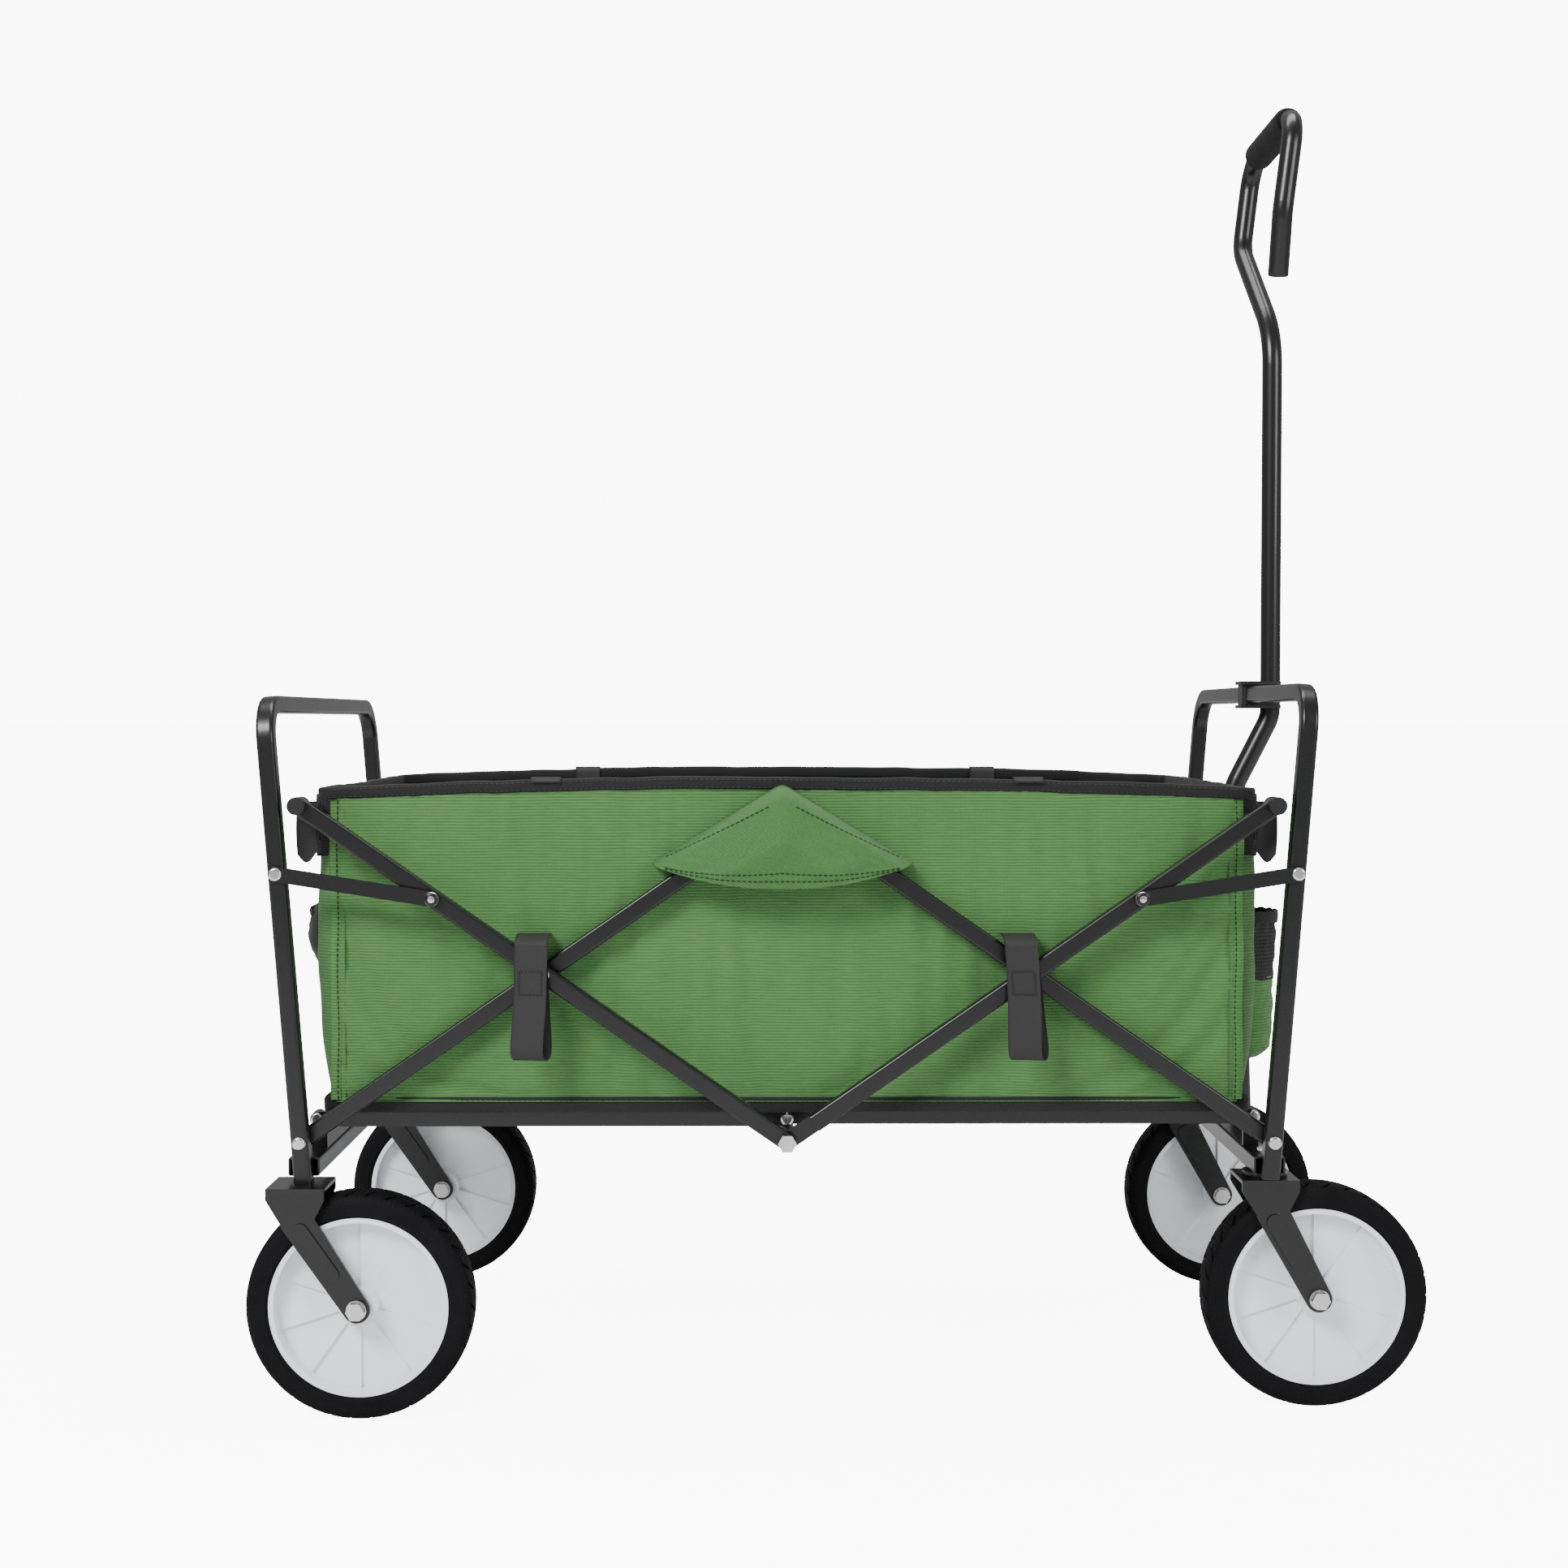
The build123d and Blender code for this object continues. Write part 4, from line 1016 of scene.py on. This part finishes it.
    def corner_fold(self, side: Side, end: End) -> bpy.types.Object:
        """Narrow fold that joins a corner's patch to its tab.

        Args:
            side: near or far.
            end: rear or front.

        Returns:
            The fold.
        """
        p = self.place
        v = np.linspace(0, 1, 16)[:, None]
        x = p.mid_x + end.value * (p.half_length - 2 * MM)
        y = np.linspace(p.half_width - 1 * MM, p.half_width + 10 * MM, 8)[None]
        face = surface(x, side.value * y, p.wall_high - 2 * MM - v * 30 * MM)
        outward = np.array([end.value, 0.0, 0.0])
        fold = slab(f"corner_fold_{end.tag}_{side.tag}", face, 1.4 * MM, outward, WEBBING)
        return fold

    def corner_patches(self) -> list[bpy.types.Object]:
        """Patch, tab and fold at each of the four corners.

        Returns:
            The twelve pieces.
        """
        makers = (self.corner_patch, self.corner_tab, self.corner_fold)
        return [make(side, end) for side in Side for end in End for make in makers]

    def rim_tabs(self) -> list[bpy.types.Object]:
        """Webbing tabs sewn over the rim above each arm crossing.

        Returns:
            The four tabs.
        """
        p = self.place
        pieces = []
        crossing = (span("rear_arm_rivets", 0)[0] + span("rear_arm_rivets", 0)[1]) / 2 - p.mid_x
        for side in Side:
            for end in End:
                x = p.mid_x + end.value * abs(crossing)
                inner = p.half_width - 7.2 * MM
                top = p.wall_high + 9.6 * MM + p.arch(np.array(x)) + 1.6 * MM
                line = smooth_path([
                    (inner, top - 26 * MM), (inner, top - 6 * MM), (inner + 3 * MM, top - 0.5 * MM),
                    (p.half_width, top), (p.half_width + 3.4 * MM, top - 3 * MM),
                ])
                width = np.linspace(-12 * MM, 12 * MM, 9)
                reach, height = side.value * line[:, :1], line[:, 1:]
                face = surface(x + width[None], reach, height)
                name = f"rim_tab_{end.tag}_{side.tag}"
                tab = slab(name, face, CLOTH, np.array([0.0, -side.value * 0.7, 0.7]), WEBBING)
                pieces.append(tab)
        return pieces

    def floor_pads(self) -> list[bpy.types.Object]:
        """Four padded floor panels, each a shallow box puffed up by a cloth run, two on each base half.

        Returns:
            The panels.
        """
        p = self.place
        low, high = span("floor_mat", 2)
        half_y = span("floor_mat", 1)[1] - 11.5 * MM
        whole = 2 * (span("floor_mat", 0)[1] - p.mid_x - 8 * MM)
        gap = 5 * MM
        length = whole / 4 - gap
        u = np.linspace(-1, 1, 46)
        v = np.linspace(-1, 1, 96)
        uu, vv = np.meshgrid(u, v, indexing="xy")
        bulge = ((1 - uu**8) * (1 - vv**8)) ** 0.5
        quilt = 0.5 + 0.5 * np.minimum(np.abs(np.sin(TAU * vv)), 1)
        top = (high - low) * 0.45 * bulge * (0.65 + 0.35 * quilt)
        plan = [uu * length / 2, vv * half_y]
        points = np.stack([np.stack([*plan, top], -1), np.stack([*plan, -0.35 * top], -1)])
        skins = two_skins(*uu.shape)
        model = mesh_piece("floor_pad_model", points, skins, BLACK_CLOTH)
        sewn = np.tile(((np.abs(uu) > 0.999) | (np.abs(vv) > 0.999)).ravel(), 2)
        settle(model, sewn, pressure=3.0, gravity=0.0, frames=12, limit=1.6 * MM)
        shape = vertex_places(model)
        bpy.data.objects.remove(model)
        pieces = []
        for k in range(4):
            middle = p.mid_x + (k - 1.5) * (length + gap)
            placed = shape + np.array([middle, 0, low + (high - low) * 0.4])
            pad = mesh_piece(f"floor_pad_{k + 1}", placed, skins, BLACK_CLOTH)
            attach(pad, "rear_base" if k < 2 else "front_base")
            pieces.append(pad)
        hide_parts("floor_mat")
        return pieces

    def floor_cloth(self, end: End) -> bpy.types.Object:
        """Cloth under the padded panels of one base half: a level grid with a shallow dip between the rails.

        Args:
            end: rear or front.

        Returns:
            The cloth, riding with its base half.
        """
        p = self.place
        low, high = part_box("floor_mat")
        reach = high[0] - p.mid_x
        u, v = np.meshgrid(np.linspace(0.001, 1, 40), np.linspace(-1, 1, 40), indexing="xy")
        dip = 0.3 * MM * (1 - v**2) * np.sin(math.pi * u)
        z = low[2] + 1.6 * MM - dip
        face = np.stack([p.mid_x + end.value * u * reach, v * (p.half_width - 9 * MM), z], -1)
        name = f"floor_cloth_{end.tag}"
        cloth = slab(name, face, CLOTH, np.array([0.0, 0.0, 1.0]), BLACK_CLOTH)
        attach(cloth, f"{end.tag}_base")
        return cloth

    def build(self) -> list[bpy.types.Object]:
        """Makes every cloth piece of the tub and ties it to its body.

        Returns:
            The pieces.
        """
        pieces = [self.side_wall(side) for side in Side]
        pieces += [self.end_wall(end) for end in End]
        pieces += self.bindings() + self.corner_seams() + self.corner_patches() + self.rim_tabs()
        for piece in pieces:
            with_tub(piece)
        return pieces + self.floor_pads() + [self.floor_cloth(end) for end in End]


# ------------------------------------------------------------------ what hangs on the tub
@dataclass
class Trim:
    """Flaps, straps, cup holders and pouch."""

    place: TubPlace

    def flap(self, side: Side) -> list[bpy.types.Object]:
        """Fan-shaped flap: its upper edges slope from the rim, its lower edge is a parabola, and it comes out
        over the arms as a quarter sine and then a straight line of the distance below its upper edge.

        Args:
            side: near or far.

        Returns:
            The flap and its stitches.
        """
        p = self.place
        low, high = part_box("flaps")
        half = (high[0] - low[0]) / 2
        outer = high[1]
        tip = low[2] + 18 * MM
        u, v = np.meshgrid(np.linspace(-1, 1, 81), np.linspace(0, 1, 40), indexing="xy")
        apex = high[2] + 4 * MM
        upper = apex - (apex - tip - 0.5 * MM) * (np.sqrt(u**2 + 0.0009) - 0.03) / 0.97
        lower = low[2] + (tip - low[2]) * u**2 - 0.5 * MM
        z = upper + (lower - upper) * v
        below = upper - z
        curl = np.sin(np.minimum(below / (10 * MM), 1) * math.pi / 2)
        step = 0.55 * curl + 0.45 * np.minimum(below / (45 * MM), 1)
        flare = 1.0 * MM * ripple(u * 0.7, v * 0.6, 31) * v + 1.6 * MM * v * (1 - u**2)
        y = p.half_width + 2.5 * MM + (outer - p.half_width - 2.5 * MM) * step + flare
        face = np.stack([p.mid_x - 4 * MM + u * half * 1.04, side.value * y, z], -1)
        out = side.out
        tag = side.tag
        pieces = [slab(f"flap_{tag}", face, 1.3 * MM, out, GREEN_TWILL)]
        for row, label in ((-4, "outer"), (-7, "inner")):
            line = face[row, 4:-4] + out * 0.4 * MM
            pieces.append(stitches(f"flap_stitches_{label}_{tag}", line, out, THREAD))
        for sign, label in ((1, "front"), (-1, "rear")):
            columns = np.arange(44, 77) if sign > 0 else np.arange(36, 3, -1)
            line = face[6, columns] + out * 0.4 * MM
            pieces.append(stitches(f"flap_edge_{label}_{tag}", line, out, THREAD))
        return pieces

    @staticmethod
    def strap_lean(end: End, fallen: np.ndarray, inward: np.ndarray) -> np.ndarray:
        """How far a strap has drifted along X, most at its foot and on the part that doubles back.

        Args:
            end: rear or front.
            fallen: share of the strap's drop.
            inward: distance in from the strap's outermost face.

        Returns:
            The drift in metres.
        """
        return end.value * 3 * MM * fallen + 7 * MM * fallen * inward / STRAP_DEPTH

    def strap(self, side: Side, end: End) -> list[bpy.types.Object]:
        """Webbing strap that comes off the wall above the arm crossing, hangs outside and doubles back up.

        Args:
            side: near or far.
            end: rear or front.

        Returns:
            The strap and its box of stitches.
        """
        p = self.place
        low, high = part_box("straps")
        outer, foot, head = high[1], low[2], high[2]
        x = p.mid_x + end.value * (high[0] - p.mid_x - 13 * MM) - 9 * MM
        route = smooth_path([
            (p.half_width - 1 * MM, head + 5 * MM), (p.half_width + 14 * MM, head + 5.5 * MM),
            (outer - 3 * MM, head + 1 * MM), (outer, head - 8 * MM), (outer + 2.5 * MM, (head + foot) / 2),
            (outer + 5 * MM, foot + 14 * MM), (outer + 4 * MM, foot + 3 * MM), (outer + 0.5 * MM, foot),
            (outer - 3.5 * MM, foot + 5 * MM), (outer - 4.4 * MM, foot + 20 * MM),
            (outer - 3.4 * MM, (head + foot) / 2), (outer - 2.6 * MM, head - 14 * MM),
        ], 14)
        width = np.linspace(-13 * MM, 13 * MM, 15)
        below = np.clip((head - route[:, 1:]) / (head - foot), 0, 1)
        front = outer + 5 * MM
        lean = self.strap_lean(end, below, front - route[:, :1])
        twist = 0.16 * below * width[None]
        out_y = np.maximum(route[:, :1] + twist, np.minimum(route[:, :1], outer - 4.4 * MM))
        face = surface(x + width[None] + lean, side.value * out_y, route[:, 1:])
        tangent = np.gradient(route, axis=0)
        tangent /= np.linalg.norm(tangent, axis=1)[:, None]
        normal = np.stack([0 * tangent[:, 0], -side.value * tangent[:, 1], tangent[:, 0]], -1)[:, None]
        tag = f"{end.tag}_{side.tag}"
        pieces = [slab(f"strap_{tag}", face, 1.1 * MM, normal, WEBBING)]
        out = side.out
        top, base = head - 22 * MM, head - 40 * MM
        box = [(-9, top), (9, top), (9, base), (-9, base), (-9, top)]
        line = []
        for (ax, az), (bx, bz) in zip(box, box[1:]):
            t = np.linspace(0, 1, 8)[:, None]
            a, b = np.array([ax * MM, az]), np.array([bx * MM, bz])
            line.append(a + (b - a) * t)
        line = np.vstack(line)
        fall = (head - line[:, 1:2]) / (head - foot)
        level = np.interp(-line[:, 1], -route[40:70, 1], route[40:70, 0]) + (0.16 * fall[:, 0] * line[:, 0])
        shift = self.strap_lean(end, fall[:, 0], front - level)
        sewn = np.stack([x + line[:, 0] + shift, side.value * (level + 0.5 * MM), line[:, 1]], -1)
        pieces.append(stitches(f"strap_stitches_{tag}", sewn, out, BLACK_THREAD, pitch=3 * MM))
        return pieces

    def cup_holder(self, side: Side) -> list[bpy.types.Object]:
        """Hanging cup holder, mesh above and green cloth below.

        It is a half round whose radius falls a little with depth, gathered along an elastic rim.

        Args:
            side: near or far.

        Returns:
            The mesh, the cloth pocket and the elastic rim.
        """
        low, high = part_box("cup_holders")
        wall = low[0]
        radius = high[0] - low[0]
        middle = high[1] - radius
        split = low[2] + 0.58 * (high[2] - low[2])
        angle = np.linspace(-math.pi / 2, math.pi / 2, 70)
        tag = side.tag
        pieces = []
        zones = (("pocket", low[2], split, GREEN), ("mesh", split - 3 * MM, high[2], MESH))
        for label, z0, z1, finish in zones:
            t, a = np.meshgrid(np.linspace(0, 1, 26), angle, indexing="ij")
            z = z0 + t * (z1 - z0)
            depth = (z - low[2]) / (high[2] - low[2])
            base = np.minimum(1, (depth / 0.10 + 0.02)) ** 0.35
            shape = radius * (0.86 + 0.1 * depth) * base
            pleat = 0.8 * MM * np.sin(a * 18) * depth**4 + 0.7 * MM * ripple(a / 3, t, 41 + side.value)
            grow = 0.5 * MM if label == "mesh" else 0.0
            r = shape + pleat + grow
            x = wall + np.maximum(r * np.cos(a) * 0.97, 0) + 2.2 * MM
            face = np.stack([x, side.value * middle + r * np.sin(a), z], -1)
            normal = np.stack([np.cos(a), np.sin(a), 0 * a], -1)
            cup = slab(f"cup_{label}_{tag}", face, 1.0 * MM, normal, finish)
            pieces.append(cup)
        rim_x = wall + 0.94 * radius * np.cos(angle) + 3 * MM
        rim_y = side.value * middle + 0.97 * radius * np.sin(angle)
        rim_z = high[2] - 3 * MM + 0.6 * MM * np.sin(angle * 20)
        path = np.stack([rim_x, rim_y, rim_z], -1)
        out = np.stack([np.cos(angle), np.sin(angle), 0 * angle], -1)
        pieces.append(band(f"cup_elastic_{tag}", path, out, (1.5 * MM, 5 * MM), BINDING, closed=False))
        return pieces

    def pouch(self) -> list[bpy.types.Object]:
        """Soft pouch on the rear wall: half an ellipse of height times a flat-topped bulge of width.

        Returns:
            The pouch, its zip tape and the zip's teeth.
        """
        low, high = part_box("rear_pouch")
        half = (high[1] - low[1]) / 2
        middle = (low[2] + high[2]) / 2
        tall = (high[2] - low[2]) / 2
        u, v = np.meshgrid(np.linspace(-1, 1, 90), np.linspace(-1, 1, 46), indexing="xy")
        bulge = np.sqrt(np.maximum(1 - v**2, 0)) * (1 - u**6) ** 0.5
        x = high[0] - 2.4 * MM - (high[0] - low[0]) * bulge * (0.96 + 0.02 * ripple(u, v, 61))
        face = np.stack([x, u * half, middle + v * tall], -1)
        pouch = slab("pouch", face, 1.0 * MM, np.array([-1.0, 0, 0]), BLACK_CLOTH)
        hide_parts("rear_pouch")
        zip_u = np.linspace(-0.86, 0.86, 60)
        zip_angle = 0.5
        swell = (high[0] - low[0]) * (1 - zip_u**6) ** 0.5 * math.cos(zip_angle) * 0.97
        zip_x = high[0] - 3.8 * MM - swell
        line = np.stack([zip_x, zip_u * half, middle + tall * math.sin(zip_angle) + 0 * zip_u], -1)
        out = np.tile(np.array([-0.88, 0, 0.48]), (60, 1))
        return [pouch, band("pouch_zip_tape", line, out, (0.9 * MM, 3.2 * MM), WEBBING, closed=False),
                stitches("pouch_zip_teeth", line + out * 1.0 * MM, out, BLACK_PLASTIC, pitch=2.6 * MM)]

    def build(self) -> list[bpy.types.Object]:
        """Makes the trim and ties it to the tub.

        Returns:
            The pieces.
        """
        pieces = []
        for side in Side:
            flap = self.flap(side)
            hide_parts("flaps")
            cups = self.cup_holder(side)
            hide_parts("cup_holders")
            pieces += flap + cups
            for end in End:
                strap = self.strap(side, end)
                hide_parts("straps")
                pieces += strap
        pieces += self.pouch()
        for piece in pieces:
            with_tub(piece)
        return pieces


@dataclass
class LinkRivets:
    """Zinc caps on the links' inner rivets."""

    radius: float = 5.9 * MM
    height: float = 2.9 * MM
    link_end: float = 6.0 * MM

    def cap(self, side: Side, end: End) -> bpy.types.Object:
        """One cap: a disc whose height is the radius share's quarter ellipse.

        Args:
            side: near or far.
            end: rear or front.

        Returns:
            The cap, riding with its link.
        """
        node = f"{end.tag}_links"
        low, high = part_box(node)
        x = (high[0] if end is End.REAR else low[0]) - self.link_end * -end.value
        z = low[2] + self.link_end
        seat = high[1] - self.height + 0.35 * MM
        polar, turn = np.linspace(0, math.pi / 2, 9), np.linspace(0, TAU, 32, endpoint=False)
        q, t = np.meshgrid(polar, turn, indexing="ij")
        r = self.radius * np.cos(q)
        r[-1] = 0
        y = seat + self.height * np.sin(q)
        rows = np.stack([x + r * np.cos(t), side.value * y, z + r * np.sin(t)], -1)
        base = np.stack([x + 0 * turn, 0 * turn + side.value * seat, z + 0 * turn], -1)
        points = np.concatenate([base[None], rows])
        faces = grid_faces(*points.shape[:2], close_columns=True)
        piece = mesh_piece(f"link_rivet_{end.tag}_{side.tag}", points, faces, ZINC)
        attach(piece, node)
        return piece

    def build(self) -> list[bpy.types.Object]:
        """Makes the four caps."""
        return [self.cap(side, end) for side in Side for end in End]


# ------------------------------------------------------------------ finishes of the CAD nodes
SLOT_FINISH = {
    "powder_coat": STEEL,
    "zinc": ZINC,
    "black_plastic": BLACK_PLASTIC,
    "white_plastic": WHITE_PLASTIC,
    "foam": FOAM,
    "green_cloth": GREEN,
    "black_webbing": BLACK_CLOTH,
}


def dress_nodes() -> int:
    """Gives every CAD node the finish of its material slot; each tyre gets tread round its own hub.

    Returns:
        The number of nodes dressed.
    """
    slots = {part["node"]: part["material_slot"] for part in frame["record"]["subparts"]}
    for name, node in frame["nodes"].items():
        if slots[name] == "tyre_rubber":
            low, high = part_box(name)
            finish = tyre_finish(((low[0] + high[0]) / 2, (low[2] + high[2]) / 2), name)
        else:
            finish = SLOT_FINISH[slots[name]]
        node.data.materials.clear()
        node.data.materials.append(finish.material())
    return len(frame["nodes"])


# ------------------------------------------------------------------ studio
@dataclass(frozen=True)
class Lamp:
    """A soft area light: place, aim, size and power."""

    name: str
    place: Triple
    aim: Triple
    size: tuple[float, float]
    power: float

    def add(self) -> None:
        """Puts the light in the scene, turned to its aim."""
        data = bpy.data.lights.new(self.name, "AREA")
        data.shape = "RECTANGLE"
        data.size, data.size_y = self.size
        data.energy = self.power
        lamp = bpy.data.objects.new(self.name, data)
        lamp.location = self.place
        lamp.rotation_euler = look(self.place, self.aim)
        bpy.context.scene.collection.objects.link(lamp)


def look(place: Triple, aim: Triple) -> tuple[float, float, float]:
    """Euler angles that turn a light or camera at place towards aim, with no roll."""
    dx, dy, dz = (b - a for a, b in zip(place, aim))
    return math.acos(-dz / math.sqrt(dx * dx + dy * dy + dz * dz)), 0.0, math.atan2(-dx, dy)


@dataclass(frozen=True)
class Studio:
    """Pale floor, white surroundings, three soft lights and the camera."""

    lens: float = 51.3
    eye: Triple = (-0.053, -1.991, 0.553)
    pitch: float = -0.0288
    yaw: float = 0.0039

    @staticmethod
    def seen_and_cast(tree: bpy.types.NodeTree, socket: bpy.types.NodeSocket, seen: float,
                      cast: float) -> None:
        """Gives a strength one value where the camera sees it and another where it lights things.

        Args:
            tree: the tree of the socket.
            socket: the strength.
            seen: its value for the camera.
            cast: its value as light.
        """
        path = tree.nodes.new("ShaderNodeLightPath")
        scaled = times(tree, path.outputs["Is Camera Ray"], seen - cast)
        tree.links.new(plus(tree, scaled, cast), socket)

    def build(self) -> None:
        """Adds the floor, the lights and the camera."""
        u, v = np.meshgrid(np.linspace(-6, 6, 13), np.linspace(-5, 6, 12), indexing="xy")
        lift = 0.06 * np.maximum(v - 3.0, 0) ** 2
        ground = np.stack([u, v, lift - 0.2 * MM], -1)
        floor = mesh_piece("studio_floor", ground, grid_faces(*u.shape), FLOOR, closed=False)
        world = bpy.data.worlds.new("studio_world")
        bpy.context.scene.world = world
        world.use_nodes = True
        background = world.node_tree.nodes["Background"]
        background.inputs["Color"].default_value = (1.0, 1.0, 1.0, 1)
        self.seen_and_cast(world.node_tree, background.inputs["Strength"], SKY_SEEN, SKY_CAST)
        glow = floor.data.materials[0].node_tree
        shader = glow.nodes["Principled BSDF"]
        shader.inputs["Emission Color"].default_value = (1.0, 1.0, 1.0, 1)
        self.seen_and_cast(glow, shader.inputs["Emission Strength"], FLOOR_SEEN, 0.0)
        for lamp in (
            Lamp("key", (-1.7, -2.4, 2.4), (0.0, 0.0, 0.3), (1.3, 1.0), 125.0),
            Lamp("fill", (2.3, -2.2, 1.5), (0.0, 0.0, 0.4), (1.2, 1.2), 40.0),
            Lamp("top", (0.0, 0.2, 3.0), (0.0, 0.0, 0.2), (2.2, 1.0), 55.0),
        ):
            lamp.add()
        data = bpy.data.cameras.new("camera")
        data.lens = self.lens
        data.sensor_width = SENSOR_WIDTH
        camera = bpy.data.objects.new("camera", data)
        camera.location = self.eye
        camera.rotation_euler = (math.pi / 2 + self.pitch, 0.0, -self.yaw)
        bpy.context.scene.collection.objects.link(camera)
        bpy.context.scene.camera = camera


def main() -> None:
    """Builds the studio, dresses the frame and adds the soft pieces, reporting each."""
    Studio().build()
    log.info("dressed %d nodes", dress_nodes())
    place = tub_place()
    for assembly in (Tub(place), Trim(place), LinkRivets()):
        for piece in assembly.build():
            log.info("%s: %d vertices", piece.name, len(piece.data.vertices))


if __name__ == "__main__":
    main()
